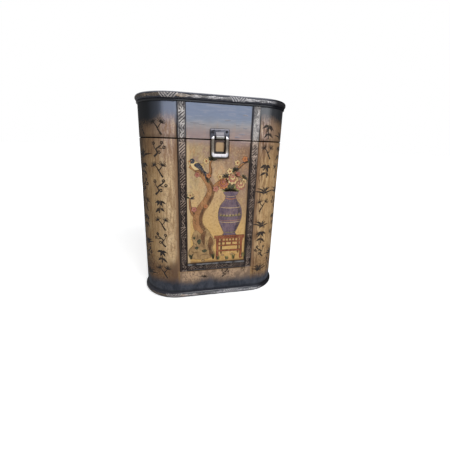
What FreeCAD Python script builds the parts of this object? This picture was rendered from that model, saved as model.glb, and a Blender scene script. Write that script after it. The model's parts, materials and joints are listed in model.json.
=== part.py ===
"""Decorative wooden box with half-round ends, a hinged lid and a swinging bail latch.

Millimetres, +Z up. The origin is on the underside of the base, at the centre of the plan.
The front, with the framed picture and the latch, faces -Y. The hinges are on the back, at +Y.
"""

import FreeCAD, Part
import math
import os

from FreeCAD import Vector

# Plan of the walls
WALL_WIDTH = 240.0
WALL_DEPTH = 114.0
WALL_THICKNESS = 8.0
LAP_LENGTH = 6.0
LAP_THICKNESS = 4.0
JOINT_CHAMFER = 0.4

# Height of the closed box, of its lid and of the seam between lid and body
TOTAL_HEIGHT = 329.5
LID_HEIGHT = 62.0
SEAM_GAP = 0.3
SEAM_CHAMFER = 0.8
SEAM_TRIM_SETBACK = 0.6

# Base, floor, lid top and the cove under the lid top
BASE_THICKNESS = 11.7
BASE_OVERHANG = 3.8
BASE_EDGE_RADIUS = 5.4
FLOOR_THICKNESS = 5.0
FLOOR_CLEARANCE = 0.2
TOP_THICKNESS = 10.0
TOP_OVERHANG = 3.6
TOP_EDGE_RADIUS = 4.6
COVE_HEIGHT = 2.8
COVE_OVERHANG = 1.8
GLUE_LINE = 0.05
EDGE_FLAT = 0.3

# Carved frame strips and the picture between them
STRIP_WIDTH = 13.0
STRIP_ROLL_RADIUS = 1.3
STRIP_BAND_HEIGHT = 1.6
STRIP_FOOT = 51.0
PANEL_THICKNESS = 0.8
PANEL_CLEARANCE = 0.1

# Butt hinges on the back
HINGE_LENGTH = 30.0
HINGE_LAP_MARGIN = 4.0
LEAF_HEIGHT = 15.0
LEAF_THICKNESS = 1.1
LEAF_CORNER = 1.5
KNUCKLE_RADIUS = 2.2
MIDDLE_KNUCKLE_LENGTH = 11.0
KNUCKLE_GAP = 0.25
HINGE_WALL_GAP = 0.3
HINGE_PIN_RADIUS = 1.0
HINGE_PIN_CLEARANCE = 0.06
HINGE_PIN_HEAD = 0.6

# Flat-headed hinge screws
HINGE_SCREW_END_MARGIN = 5.5
HINGE_SCREW_HEAD_RADIUS = 2.1
HINGE_SCREW_SHANK_RADIUS = 1.0
HINGE_SCREW_LENGTH = 7.0
SCREW_TIP = 1.0
SCREW_CLEARANCE = 0.05
SCREW_SLOT_WIDTH = 0.5
SCREW_SLOT_DEPTH = 0.45

# Latch plate on the lid, with the strap that carries the bail
LATCH_PLATE_WIDTH = 30.0
LATCH_PLATE_HEIGHT = 15.2
LATCH_PLATE_THICKNESS = 1.5
LATCH_PLATE_CORNER = 2.0
LATCH_PLATE_BEVEL = 0.6
LATCH_PLATE_ABOVE_SEAM = 0.9
STRAP_SIDE_GAP = 2.2
STRAP_SEAM_GAP = 0.57
STRAP_TOP_MARGIN = 5.1
STRAP_WALL = 1.4
LATCH_SCREW_SIDE_MARGIN = 4.3
LATCH_SCREW_TOP_MARGIN = 4.8
LATCH_SCREW_HEAD_RADIUS = 2.0
LATCH_SCREW_HEAD_HEIGHT = 0.9
LATCH_SCREW_SHANK_RADIUS = 1.0
LATCH_SCREW_LENGTH = 8.0

# Bail that swings on the strap
BAIL_WIDTH = 26.8
BAIL_SIDE = 5.2
BAIL_THICKNESS = 3.2
BAIL_DROP = 29.2
BAIL_FOOT_HEIGHT = 6.2
BAIL_FOOT_FLARE = 2.8
BAIL_BEND_HEIGHT = 10.6
BAIL_OUTER_CORNER = 4.5
BAIL_INNER_CORNER = 2.6
BAIL_BAR_RADIUS = 1.5
BAIL_BAR_CLEARANCE = 0.08
BAIL_PLATE_GAP = 0.5

# Catch on the body, behind the foot of the bail
CATCH_SIDE_GAP = 0.4
CATCH_THICKNESS = 0.9
CATCH_RIDGE_HEIGHT = 2.4
CATCH_BAIL_GAP = 0.3
CATCH_PIN_END_MARGIN = 2.8
CATCH_PIN_HEAD_RADIUS = 1.3
CATCH_PIN_HEAD_HEIGHT = 0.4
CATCH_PIN_SHANK_RADIUS = 0.7
CATCH_PIN_LENGTH = 6.0

# Places that follow from the sizes above
END_RADIUS = WALL_DEPTH / 2
FLAT_HALF = WALL_WIDTH / 2 - END_RADIUS
FRONT = -WALL_DEPTH / 2
BACK = WALL_DEPTH / 2
SEAM_HEIGHT = TOTAL_HEIGHT - LID_HEIGHT
BODY_TOP = SEAM_HEIGHT - SEAM_GAP / 2
LID_FOOT = SEAM_HEIGHT + SEAM_GAP / 2
WALL_TOP = TOTAL_HEIGHT - TOP_THICKNESS
COVE_FOOT = WALL_TOP - COVE_HEIGHT
PANEL_HALF = FLAT_HALF - STRIP_WIDTH - PANEL_CLEARANCE
PANEL_FACE = FRONT - PANEL_THICKNESS
HINGE_AXIS_Y = BACK + HINGE_WALL_GAP + KNUCKLE_RADIUS
HINGE_CENTRE = FLAT_HALF - LAP_LENGTH - HINGE_LAP_MARGIN - HINGE_LENGTH / 2
LATCH_PLATE_FOOT = SEAM_HEIGHT + LATCH_PLATE_ABOVE_SEAM
BAIL_WINDOW = BAIL_WIDTH - 2 * BAIL_SIDE
STRAP_WIDTH = BAIL_WINDOW - 2 * STRAP_SIDE_GAP
STRAP_RADIUS = BAIL_BAR_RADIUS + BAIL_BAR_CLEARANCE + STRAP_WALL
BAIL_AXIS_Z = LID_FOOT + STRAP_SEAM_GAP + STRAP_RADIUS
BAIL_AXIS_DEPTH = LATCH_PLATE_THICKNESS + BAIL_PLATE_GAP + BAIL_THICKNESS / 2
BAIL_FOOT = BAIL_AXIS_Z - BAIL_DROP
CATCH_WIDTH = BAIL_WINDOW - 2 * CATCH_SIDE_GAP
SIDES = {"left": -1, "right": 1}
UP = Vector(0, 0, 1)
INTO_FRONT = Vector(0, 1, 0)
INTO_BACK = Vector(0, -1, 0)


# General shapes

def polygon_face(points):
    """Flat face with straight sides through the points."""
    return Part.Face(Part.makePolygon(list(points) + [points[0]]))


def box(low, high):
    """Solid block between two opposite corners."""
    size = high - low
    return Part.makeBox(size.x, size.y, size.z, low)


def turned(profile, at, into):
    """Solid turned from (radius, depth) points, with depth measured from a point along a direction."""
    face = polygon_face([Vector(radius, 0, depth) for radius, depth in profile])
    solid = face.revolve(Vector(0, 0, 0), UP, 360)
    solid.Placement = FreeCAD.Placement(at, FreeCAD.Rotation(UP, into))
    return solid


def bored(solid, holes):
    """A piece with the holes of its fasteners."""
    for hole in holes:
        solid = solid.cut(hole)
    return solid


def plan_face(offset, z):
    """The plan of the box, two straights and two half circles, moved out by an offset."""
    radius = END_RADIUS + offset
    right_front = Vector(FLAT_HALF, -radius, z)
    right_back = Vector(FLAT_HALF, radius, z)
    left_front = Vector(-FLAT_HALF, -radius, z)
    left_back = Vector(-FLAT_HALF, radius, z)
    return Part.Face(Part.Wire([
        Part.LineSegment(left_front, right_front).toShape(),
        Part.Arc(right_front, Vector(FLAT_HALF + radius, 0, z), right_back).toShape(),
        Part.LineSegment(right_back, left_back).toShape(),
        Part.Arc(left_back, Vector(-FLAT_HALF - radius, 0, z), left_front).toShape(),
    ]))


def plan_plate(offset, low, high):
    """Flat board with the plan of the box."""
    return plan_face(offset, low).extrude(Vector(0, 0, high - low))


def bullnose_board(offset, low, high, edge_radius):
    """Board with the plan of the box and a rounded edge all round."""
    board = plan_plate(offset, low, high)
    rims = [edge for edge in board.Edges if edge.BoundBox.ZLength < EDGE_FLAT]
    radius = min(edge_radius, (high - low - EDGE_FLAT) / 2)
    return board.makeFillet(radius, rims)


# Walls: flat front and back boards lapped to half-round ends

def wall_profile(low, high, seam_at_top):
    """(inset, height) outline of a wall, with the outer edge at the seam taken off."""
    if seam_at_top:
        return [(0, low), (0, high - SEAM_CHAMFER), (SEAM_CHAMFER, high),
                (WALL_THICKNESS, high), (WALL_THICKNESS, low)]
    return [(SEAM_CHAMFER, low), (0, low + SEAM_CHAMFER), (0, high),
            (WALL_THICKNESS, high), (WALL_THICKNESS, low)]


def wall_board(side, low, high, seam_at_top):
    """Flat board at the front (-1) or back (+1), rebated inside at both ends for the laps."""
    profile = [Vector(-FLAT_HALF, side * (END_RADIUS - inset), z)
               for inset, z in wall_profile(low, high, seam_at_top)]
    board = polygon_face(profile).extrude(Vector(2 * FLAT_HALF, 0, 0))
    face = side * END_RADIUS
    joints = [edge for edge in board.Edges if edge.BoundBox.XLength < EDGE_FLAT
              and edge.BoundBox.YLength < EDGE_FLAT and abs(edge.CenterOfMass.y - face) < EDGE_FLAT]
    board = board.makeChamfer(JOINT_CHAMFER, joints)
    for end in SIDES.values():
        board = board.cut(lap_tongue(end, side, low, high))
    return board


def lap_tongue(end, side, low, high):
    """The inner half of the wall that runs from a half-round end over a flat board."""
    across = sorted((end * FLAT_HALF, end * (FLAT_HALF - LAP_LENGTH)))
    depth = sorted((side * (END_RADIUS - WALL_THICKNESS),
                    side * (END_RADIUS - WALL_THICKNESS + LAP_THICKNESS)))
    return box(Vector(across[0], depth[0], low), Vector(across[1], depth[1], high))


def wall_end(end, low, high, seam_at_top):
    """Half-round end with a lap tongue towards the front board and one towards the back board."""
    profile = [Vector(end * FLAT_HALF, inset - END_RADIUS, z)
               for inset, z in wall_profile(low, high, seam_at_top)]
    shell = polygon_face(profile).revolve(Vector(end * FLAT_HALF, 0, 0), Vector(0, 0, end), 180)
    for side in (-1, 1):
        shell = shell.fuse(lap_tongue(end, side, low, high))
    return shell.removeSplitter()


# Base, floor, lid top and cove

def base_board():
    return bullnose_board(BASE_OVERHANG, 0, BASE_THICKNESS, BASE_EDGE_RADIUS)


def floor_panel():
    """Loose-fitting board inside the walls that locates them on the base."""
    return plan_plate(-WALL_THICKNESS - FLOOR_CLEARANCE, BASE_THICKNESS, BASE_THICKNESS + FLOOR_THICKNESS)


def lid_top_board():
    return bullnose_board(TOP_OVERHANG, WALL_TOP, TOTAL_HEIGHT, TOP_EDGE_RADIUS)


def lid_cove():
    """Small quarter-round moulding bent round the lid under its top."""
    ring = plan_plate(COVE_OVERHANG, COVE_FOOT, WALL_TOP)
    lower_rim = [edge for edge in ring.Edges if edge.BoundBox.ZMax < WALL_TOP - COVE_HEIGHT / 2]
    ring = ring.makeFillet(min(COVE_OVERHANG, COVE_HEIGHT) - EDGE_FLAT, lower_rim)
    return ring.cut(plan_plate(GLUE_LINE, COVE_FOOT, WALL_TOP))


# Carved frame strips and the picture

def strip_profile_face(start, across, out):
    """Section of a strip: a round roll along each edge and a flat band between them."""
    reach = math.sqrt(STRIP_ROLL_RADIUS ** 2 - (STRIP_BAND_HEIGHT - STRIP_ROLL_RADIUS) ** 2)

    def at(u, height):
        return start + across * u + out * height

    first, last = STRIP_ROLL_RADIUS, STRIP_WIDTH - STRIP_ROLL_RADIUS
    crown = 2 * STRIP_ROLL_RADIUS
    foot_left, foot_right = at(0, 0), at(STRIP_WIDTH, 0)
    side_left, side_right = at(0, STRIP_ROLL_RADIUS), at(STRIP_WIDTH, STRIP_ROLL_RADIUS)
    band_left = at(first + reach, STRIP_BAND_HEIGHT)
    band_right = at(last - reach, STRIP_BAND_HEIGHT)
    return Part.Face(Part.Wire([
        Part.LineSegment(foot_left, side_left).toShape(),
        Part.Arc(side_left, at(first, crown), band_left).toShape(),
        Part.LineSegment(band_left, band_right).toShape(),
        Part.Arc(band_right, at(last, crown), side_right).toShape(),
        Part.LineSegment(side_right, foot_right).toShape(),
        Part.LineSegment(foot_right, foot_left).toShape(),
    ]))


def upright_strip(end, low, high):
    """Upright strip whose outer edge lies where the flat front meets a half-round end."""
    left = -FLAT_HALF if end < 0 else FLAT_HALF - STRIP_WIDTH
    face = strip_profile_face(Vector(left, FRONT, low), Vector(1, 0, 0), Vector(0, -1, 0))
    return face.extrude(Vector(0, 0, high - low))


def mitre_wedge(end, upper):
    """Wedge on one side of the mitre line at a lower corner of the frame."""
    outer, inner = end * FLAT_HALF, end * (FLAT_HALF - STRIP_WIDTH)
    low, high = STRIP_FOOT, STRIP_FOOT + STRIP_WIDTH
    third = (outer, high) if upper else (inner, low)
    corners = [(outer, low), (inner, high), third]
    face = polygon_face([Vector(x, FRONT, z) for x, z in corners])
    return face.extrude(Vector(0, -3 * STRIP_ROLL_RADIUS, 0))


def body_strip(end):
    return upright_strip(end, STRIP_FOOT, BODY_TOP - SEAM_TRIM_SETBACK).cut(mitre_wedge(end, False))


def lid_strip(end):
    return upright_strip(end, LID_FOOT + SEAM_TRIM_SETBACK, COVE_FOOT)


def bottom_strip():
    face = strip_profile_face(Vector(-FLAT_HALF, FRONT, STRIP_FOOT), UP, Vector(0, -1, 0))
    strip = face.extrude(Vector(2 * FLAT_HALF, 0, 0))
    for end in SIDES.values():
        strip = strip.cut(mitre_wedge(end, True))
    return strip


def picture_panel(low, high):
    return box(Vector(-PANEL_HALF, PANEL_FACE, low), Vector(PANEL_HALF, FRONT, high))


# Hinges: two leaves and a pin each, on the back of the body and lid

def hinge_centres():
    return {name: end * HINGE_CENTRE for name, end in SIDES.items()}


def along_x(radius, start, end):
    """Rod along X on the hinge axis."""
    return Part.makeCylinder(radius, end - start, Vector(start, HINGE_AXIS_Y, SEAM_HEIGHT), Vector(1, 0, 0))


def hinge_leaf(centre, up):
    """Leaf on the body (up = -1, with the two outer knuckles) or the lid (up = +1, with the middle one)."""
    half, middle = HINGE_LENGTH / 2, MIDDLE_KNUCKLE_LENGTH / 2
    if up < 0:
        spans = [(-half, -middle - KNUCKLE_GAP), (middle + KNUCKLE_GAP, half)]
    else:
        spans = [(-middle, middle)]
    near = SEAM_HEIGHT + up * (KNUCKLE_RADIUS + HINGE_WALL_GAP)
    far = SEAM_HEIGHT + up * LEAF_HEIGHT
    low, high = sorted((near, far))
    leaf = box(Vector(centre - half, BACK, low), Vector(centre + half, BACK + LEAF_THICKNESS, high))
    corners = [edge for edge in leaf.Edges
               if edge.BoundBox.ZLength < EDGE_FLAT and edge.BoundBox.XLength < EDGE_FLAT
               and abs(edge.BoundBox.ZMax - far) < EDGE_FLAT]
    leaf = leaf.makeFillet(LEAF_CORNER, corners)
    for start, end in spans:
        web_low, web_high = sorted((SEAM_HEIGHT, near))
        leaf = leaf.fuse(box(Vector(centre + start, BACK, web_low),
                             Vector(centre + end, BACK + LEAF_THICKNESS, web_high)))
        leaf = leaf.fuse(along_x(KNUCKLE_RADIUS, centre + start, centre + end))
    leaf = leaf.cut(along_x(HINGE_PIN_RADIUS + HINGE_PIN_CLEARANCE, centre - half, centre + half))
    return bored(leaf, hinge_screw_set(up, SCREW_CLEARANCE)).removeSplitter()


def hinge_pin(centre):
    """Pin through all the knuckles, with a flat head at each end."""
    half = HINGE_LENGTH / 2
    pin = along_x(HINGE_PIN_RADIUS, centre - half, centre + half)
    for start, end in ((-half - HINGE_PIN_HEAD, -half), (half, half + HINGE_PIN_HEAD)):
        pin = pin.fuse(along_x(KNUCKLE_RADIUS - HINGE_WALL_GAP, centre + start, centre + end))
    return pin.removeSplitter()


def hinge_screw_set(up, clearance):
    """All screws of the leaves on one side of the seam, grown by a clearance to make their holes."""
    height = SEAM_HEIGHT + up * (LEAF_HEIGHT + KNUCKLE_RADIUS + HINGE_WALL_GAP) / 2
    head, shank = HINGE_SCREW_HEAD_RADIUS + clearance, HINGE_SCREW_SHANK_RADIUS + clearance
    profile = [(0, 0), (head, 0), (shank, LEAF_THICKNESS), (shank, HINGE_SCREW_LENGTH - SCREW_TIP),
               (0, HINGE_SCREW_LENGTH + clearance)]
    reach = HINGE_LENGTH / 2 - HINGE_SCREW_END_MARGIN
    screws = []
    for centre in hinge_centres().values():
        for offset in (-reach, reach):
            at = Vector(centre + offset, BACK + LEAF_THICKNESS, height)
            screw = turned(profile, at, INTO_BACK)
            screws.append(screw if clearance else screw.cut(screw_slot(at, INTO_BACK, head)))
    return screws


def screw_slot(at, into, head_radius):
    """Driver slot across a screw head, along X."""
    low = Vector(at.x - head_radius, at.y, at.z - SCREW_SLOT_WIDTH / 2)
    high = Vector(at.x + head_radius, at.y, at.z + SCREW_SLOT_WIDTH / 2)
    depth = into.y * SCREW_SLOT_DEPTH
    low.y, high.y = sorted((at.y, at.y + depth))
    return box(low, high)


# Latch: plate with strap, its screws, the bail and the catch

def depth_point(x, depth, z):
    """Point in front of the picture face."""
    return Vector(x, PANEL_FACE - depth, z)


def latch_plate():
    """Plate with a sloping strap in its middle, bored for the bar of the bail."""
    low = LATCH_PLATE_FOOT
    high = LATCH_PLATE_FOOT + LATCH_PLATE_HEIGHT
    half = LATCH_PLATE_WIDTH / 2
    plate = box(depth_point(-half, LATCH_PLATE_THICKNESS, low), depth_point(half, 0, high))
    corners = [edge for edge in plate.Edges if edge.BoundBox.YLength > LATCH_PLATE_THICKNESS - EDGE_FLAT
               and edge.BoundBox.XLength < EDGE_FLAT and edge.BoundBox.ZLength < EDGE_FLAT]
    plate = plate.makeFillet(LATCH_PLATE_CORNER, corners)
    front = PANEL_FACE - LATCH_PLATE_THICKNESS
    plate = plate.makeChamfer(LATCH_PLATE_BEVEL, [edge for edge in plate.Edges
                                                  if edge.BoundBox.YMax < front + LATCH_PLATE_BEVEL / 2])
    plate = plate.fuse(latch_strap(high - STRAP_TOP_MARGIN))
    plate = plate.cut(bail_rod(BAIL_BAR_RADIUS + BAIL_BAR_CLEARANCE, STRAP_WIDTH))
    return bored(plate, latch_screw_set(SCREW_CLEARANCE)).removeSplitter()


def latch_strap(top):
    """Strap that slopes out from the plate and wraps round the bar of the bail."""
    rise, run = top - BAIL_AXIS_Z, LATCH_PLATE_THICKNESS - BAIL_AXIS_DEPTH
    touch = math.atan2(rise, run) - math.acos(STRAP_RADIUS / math.hypot(rise, run))

    def on_circle(angle):
        return inside(BAIL_AXIS_DEPTH + STRAP_RADIUS * math.cos(angle),
                      BAIL_AXIS_Z + STRAP_RADIUS * math.sin(angle))

    def inside(depth, z):
        return depth_point(-STRAP_WIDTH / 2, depth, z)

    foot = BAIL_AXIS_Z - STRAP_RADIUS
    start = inside(LATCH_PLATE_THICKNESS, top)
    face = Part.Face(Part.Wire([
        Part.LineSegment(start, on_circle(touch)).toShape(),
        Part.Arc(on_circle(touch), on_circle((touch - math.pi / 2) / 2), on_circle(-math.pi / 2)).toShape(),
        Part.LineSegment(on_circle(-math.pi / 2), inside(0, foot)).toShape(),
        Part.LineSegment(inside(0, foot), inside(0, top)).toShape(),
        Part.LineSegment(inside(0, top), start).toShape(),
    ]))
    return face.extrude(Vector(STRAP_WIDTH, 0, 0))


def bail_rod(radius, length):
    """Rod along X on the axis that the bail swings on."""
    start = depth_point(-length / 2, BAIL_AXIS_DEPTH, BAIL_AXIS_Z)
    return Part.makeCylinder(radius, length, start, Vector(1, 0, 0))


def latch_screw_set(clearance):
    """Round-headed screws through the plate, or the holes for their shanks when given a clearance."""
    head, shank = LATCH_SCREW_HEAD_RADIUS, LATCH_SCREW_SHANK_RADIUS + clearance
    tip = LATCH_SCREW_LENGTH + clearance
    profile = [(0, 0), (shank, 0), (shank, LATCH_SCREW_LENGTH - SCREW_TIP), (0, tip)]
    if not clearance:
        top = -LATCH_SCREW_HEAD_HEIGHT
        profile = [(0, top), (head / 2, top), (head, top / 2), (head, 0)] + profile[1:]
    reach = LATCH_PLATE_WIDTH / 2 - LATCH_SCREW_SIDE_MARGIN
    height = LATCH_PLATE_FOOT + LATCH_PLATE_HEIGHT - LATCH_SCREW_TOP_MARGIN
    screws = []
    for offset in (-reach, reach):
        at = depth_point(offset, LATCH_PLATE_THICKNESS, height)
        screw = turned(profile, at, INTO_FRONT)
        crown = at - INTO_FRONT * LATCH_SCREW_HEAD_HEIGHT
        screws.append(screw if clearance else screw.cut(screw_slot(crown, INTO_FRONT, head)))
    return screws


def bail_front_face():
    """Front outline of the bail: a rounded frame, open at the top between its two side bars."""
    half, inner = BAIL_WIDTH / 2, BAIL_WINDOW / 2
    top = BAIL_AXIS_Z + BAIL_THICKNESS / 2
    foot, ledge = BAIL_FOOT, BAIL_FOOT + BAIL_FOOT_HEIGHT
    shoulder = BAIL_SIDE - EDGE_FLAT

    def at(x, z):
        return depth_point(x, 0, z)

    def corner(cx, cz, radius, first):
        """Quarter arc about a centre, anticlockwise from a first angle in degrees."""
        turn = [math.radians(first + step) for step in (0, 45, 90)]
        return [at(cx + radius * math.cos(angle), cz + radius * math.sin(angle)) for angle in turn]

    outer, tight = BAIL_OUTER_CORNER, BAIL_INNER_CORNER
    arcs = [
        corner(-half + outer, foot + outer, outer, 180),
        corner(half - outer, foot + outer, outer, 270),
        corner(half - shoulder, top - shoulder, shoulder, 0),
        [at(inner, top)],
        corner(inner - tight, ledge + tight, tight, 270)[::-1],
        corner(-inner + tight, ledge + tight, tight, 180)[::-1],
        [at(-inner, top)],
        corner(-half + shoulder, top - shoulder, shoulder, 90),
    ]
    edges = []
    for arc, following in zip(arcs, arcs[1:] + arcs[:1]):
        if len(arc) == 3:
            edges.append(Part.Arc(*arc).toShape())
        edges.append(Part.LineSegment(arc[-1], following[0]).toShape())
    return Part.Face(Part.Wire(edges))


def bail_side_face():
    """Side outline of the bail: round about its axis, straight sides and a foot that bends forward."""
    half = BAIL_THICKNESS / 2
    rear, front = BAIL_AXIS_DEPTH - half, BAIL_AXIS_DEPTH + half
    flared = front + BAIL_FOOT_FLARE
    x = -BAIL_WIDTH

    def at(depth, z):
        return depth_point(x, depth, z)

    bend = BAIL_FOOT + BAIL_BEND_HEIGHT
    points = [at(rear, BAIL_AXIS_Z), at(rear, bend), at(rear + BAIL_FOOT_FLARE, BAIL_FOOT),
              at(flared - half / 2, BAIL_FOOT), at(flared, BAIL_FOOT + half / 2),
              at(front, bend), at(front, BAIL_AXIS_Z)]
    edges = [Part.LineSegment(a, b).toShape() for a, b in zip(points, points[1:])]
    crown = at(BAIL_AXIS_DEPTH, BAIL_AXIS_Z + half)
    edges.append(Part.Arc(points[-1], crown, points[0]).toShape())
    return Part.Face(Part.Wire(edges))


def latch_bail():
    """Flat ring that hangs from a round bar in the strap, with a foot bent forward for a finger."""
    depth = BAIL_AXIS_DEPTH + BAIL_THICKNESS + BAIL_FOOT_FLARE
    frame = bail_front_face().extrude(Vector(0, -depth, 0))
    frame = frame.common(bail_side_face().extrude(Vector(2 * BAIL_WIDTH, 0, 0)))
    return frame.fuse(bail_rod(BAIL_BAR_RADIUS, BAIL_WIDTH - BAIL_SIDE)).removeSplitter()


def catch_plate():
    """Small plate behind the foot of the bail, with a ridge that shows just above that foot."""
    reach = BAIL_AXIS_DEPTH - BAIL_THICKNESS / 2 - CATCH_BAIL_GAP
    low, ledge = BAIL_FOOT + BAIL_THICKNESS / 2, BAIL_FOOT + BAIL_FOOT_HEIGHT
    top = ledge + CATCH_RIDGE_HEIGHT
    ease = (reach - CATCH_THICKNESS) / 2
    outline = [(0, low), (CATCH_THICKNESS, low), (CATCH_THICKNESS, ledge), (reach, ledge + ease),
               (reach, top - ease), (reach - ease, top), (0, top)]
    face = polygon_face([depth_point(-CATCH_WIDTH / 2, depth, z) for depth, z in outline])
    return bored(face.extrude(Vector(CATCH_WIDTH, 0, 0)), catch_pin_set(SCREW_CLEARANCE))


def catch_pin_set(clearance):
    """Round-headed pins through the catch, or the holes for their shanks when given a clearance."""
    height = BAIL_FOOT + (BAIL_THICKNESS / 2 + BAIL_FOOT_HEIGHT) / 2
    head, shank = CATCH_PIN_HEAD_RADIUS, CATCH_PIN_SHANK_RADIUS + clearance
    profile = [(0, 0), (shank, 0), (shank, CATCH_PIN_LENGTH - SCREW_TIP), (0, CATCH_PIN_LENGTH + clearance)]
    if not clearance:
        top = -CATCH_PIN_HEAD_HEIGHT
        profile = [(0, top), (head / 2, top), (head, 0)] + profile[1:]
    reach = CATCH_WIDTH / 2 - CATCH_PIN_END_MARGIN
    return [turned(profile, depth_point(offset, CATCH_THICKNESS, height), INTO_FRONT)
            for offset in (-reach, reach)]


# All pieces by name

def body_pieces():
    """Everything that stays with the body."""
    front_holes = catch_pin_set(SCREW_CLEARANCE)
    back_holes = hinge_screw_set(-1, SCREW_CLEARANCE)
    panel_foot = STRIP_FOOT + STRIP_WIDTH + PANEL_CLEARANCE
    pieces = {
        "base_board": base_board(),
        "floor_panel": floor_panel(),
        "front_board": bored(wall_board(-1, BASE_THICKNESS, BODY_TOP, True), front_holes),
        "back_board": bored(wall_board(1, BASE_THICKNESS, BODY_TOP, True), back_holes),
        "bottom_strip": bottom_strip(),
        "picture_panel": bored(picture_panel(panel_foot, BODY_TOP - SEAM_TRIM_SETBACK), front_holes),
        "body_hinge_screws": Part.makeCompound(hinge_screw_set(-1, 0)),
        "catch_plate": catch_plate(),
        "catch_pins": Part.makeCompound(catch_pin_set(0)),
    }
    for name, end in SIDES.items():
        pieces[name + "_end_wall"] = wall_end(end, BASE_THICKNESS, BODY_TOP, True)
        pieces[name + "_strip"] = body_strip(end)
    for name, centre in hinge_centres().items():
        pieces["hinge_" + name + "_body_leaf"] = hinge_leaf(centre, -1)
        pieces["hinge_" + name + "_pin"] = hinge_pin(centre)
    return pieces


def lid_pieces():
    """Everything that turns with the lid, and the bail that hangs on it."""
    front_holes = latch_screw_set(SCREW_CLEARANCE)
    back_holes = hinge_screw_set(1, SCREW_CLEARANCE)
    panel_top = COVE_FOOT - PANEL_CLEARANCE
    pieces = {
        "lid_top_board": lid_top_board(),
        "lid_cove": lid_cove(),
        "lid_front_board": bored(wall_board(-1, LID_FOOT, WALL_TOP, False), front_holes),
        "lid_back_board": bored(wall_board(1, LID_FOOT, WALL_TOP, False), back_holes),
        "lid_picture_panel": bored(picture_panel(LID_FOOT + SEAM_TRIM_SETBACK, panel_top), front_holes),
        "lid_hinge_screws": Part.makeCompound(hinge_screw_set(1, 0)),
        "latch_plate": latch_plate(),
        "latch_screws": Part.makeCompound(latch_screw_set(0)),
        "latch_bail": latch_bail(),
    }
    for name, end in SIDES.items():
        pieces["lid_" + name + "_end_wall"] = wall_end(end, LID_FOOT, WALL_TOP, False)
        pieces["lid_" + name + "_strip"] = lid_strip(end)
    for name, centre in hinge_centres().items():
        pieces["hinge_" + name + "_lid_leaf"] = hinge_leaf(centre, 1)
    return pieces


def main():
    os.makedirs("parts", exist_ok=True)
    for name, shape in {**body_pieces(), **lid_pieces()}.items():
        shape.exportStep(os.path.join("parts", name + ".step"))
        state = "valid" if shape.isValid() else "INVALID"
        print(name, state, len(shape.Solids), "solids,", round(shape.Volume, 1), "mm3")


main()
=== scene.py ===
import json
import math
import random

import bpy
from mathutils import Matrix, Vector


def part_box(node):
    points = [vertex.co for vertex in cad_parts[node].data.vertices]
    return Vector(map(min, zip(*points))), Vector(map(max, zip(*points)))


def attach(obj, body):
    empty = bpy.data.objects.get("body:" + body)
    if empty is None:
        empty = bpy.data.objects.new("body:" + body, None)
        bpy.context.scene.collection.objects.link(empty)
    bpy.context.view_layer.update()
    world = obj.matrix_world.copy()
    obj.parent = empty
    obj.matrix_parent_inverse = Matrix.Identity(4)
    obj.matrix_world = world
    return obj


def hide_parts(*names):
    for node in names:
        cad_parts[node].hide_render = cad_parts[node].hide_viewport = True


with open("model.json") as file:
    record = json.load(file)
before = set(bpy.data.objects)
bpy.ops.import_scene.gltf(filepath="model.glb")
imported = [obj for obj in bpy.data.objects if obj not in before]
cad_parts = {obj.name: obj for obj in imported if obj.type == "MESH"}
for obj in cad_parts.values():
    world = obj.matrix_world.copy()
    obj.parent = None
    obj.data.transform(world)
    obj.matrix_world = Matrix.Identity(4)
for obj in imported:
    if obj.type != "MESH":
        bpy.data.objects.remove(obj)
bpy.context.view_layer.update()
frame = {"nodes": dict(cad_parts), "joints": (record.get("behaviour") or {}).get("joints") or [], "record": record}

# Lengths in this script are in millimetres, apart from those of the stage; meshes are written in metres.
MM = 0.001


def box_mm(node):
    """Lowest and highest corner of a CAD node, in millimetres."""
    low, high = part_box(node)
    return low / MM, high / MM


# Sizes read from the frame
WALL_FACE = -box_mm("front_board")[0].y
FLAT_HALF = box_mm("right_end_wall")[1].x - WALL_FACE
TURN_LENGTH = math.pi * WALL_FACE
PERIMETER = 2 * (2 * FLAT_HALF + TURN_LENGTH)
SEAM = frame["joints"][0]["pos_m"][2] / MM
LID_FOOT = box_mm("lid_front_board")[0].z
RIM_FOOT, RIM_TOP = (corner.z for corner in box_mm("lid_top_board"))
PANEL_LOW, PANEL_HIGH = box_mm("picture_panel")
PANEL_FACE = -PANEL_LOW.y
STRIP_WIDTH = box_mm("left_strip")[1].x - box_mm("left_strip")[0].x
STRIP_FOOT = box_mm("bottom_strip")[0].z
STRIP_TOP = STRIP_FOOT + STRIP_WIDTH
PLATE_HIGH = box_mm("latch_plate")[1]
BAIL_LOW, BAIL_HIGH = box_mm("latch_bail")
BAIL_AXIS_DEPTH = -frame["joints"][1]["pos_m"][1] / MM

# Seeds of the random draws
INK_SEED = 11
PICTURE_SEED = 5


# Materials

def srgb(red, green, blue):
    """Linear colour from screen values of 0 to 255."""
    shares = (red / 255, green / 255, blue / 255)
    linear = [s / 12.92 if s <= 0.04045 else ((s + 0.055) / 1.055) ** 2.4 for s in shares]
    return (*linear, 1.0)


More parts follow.
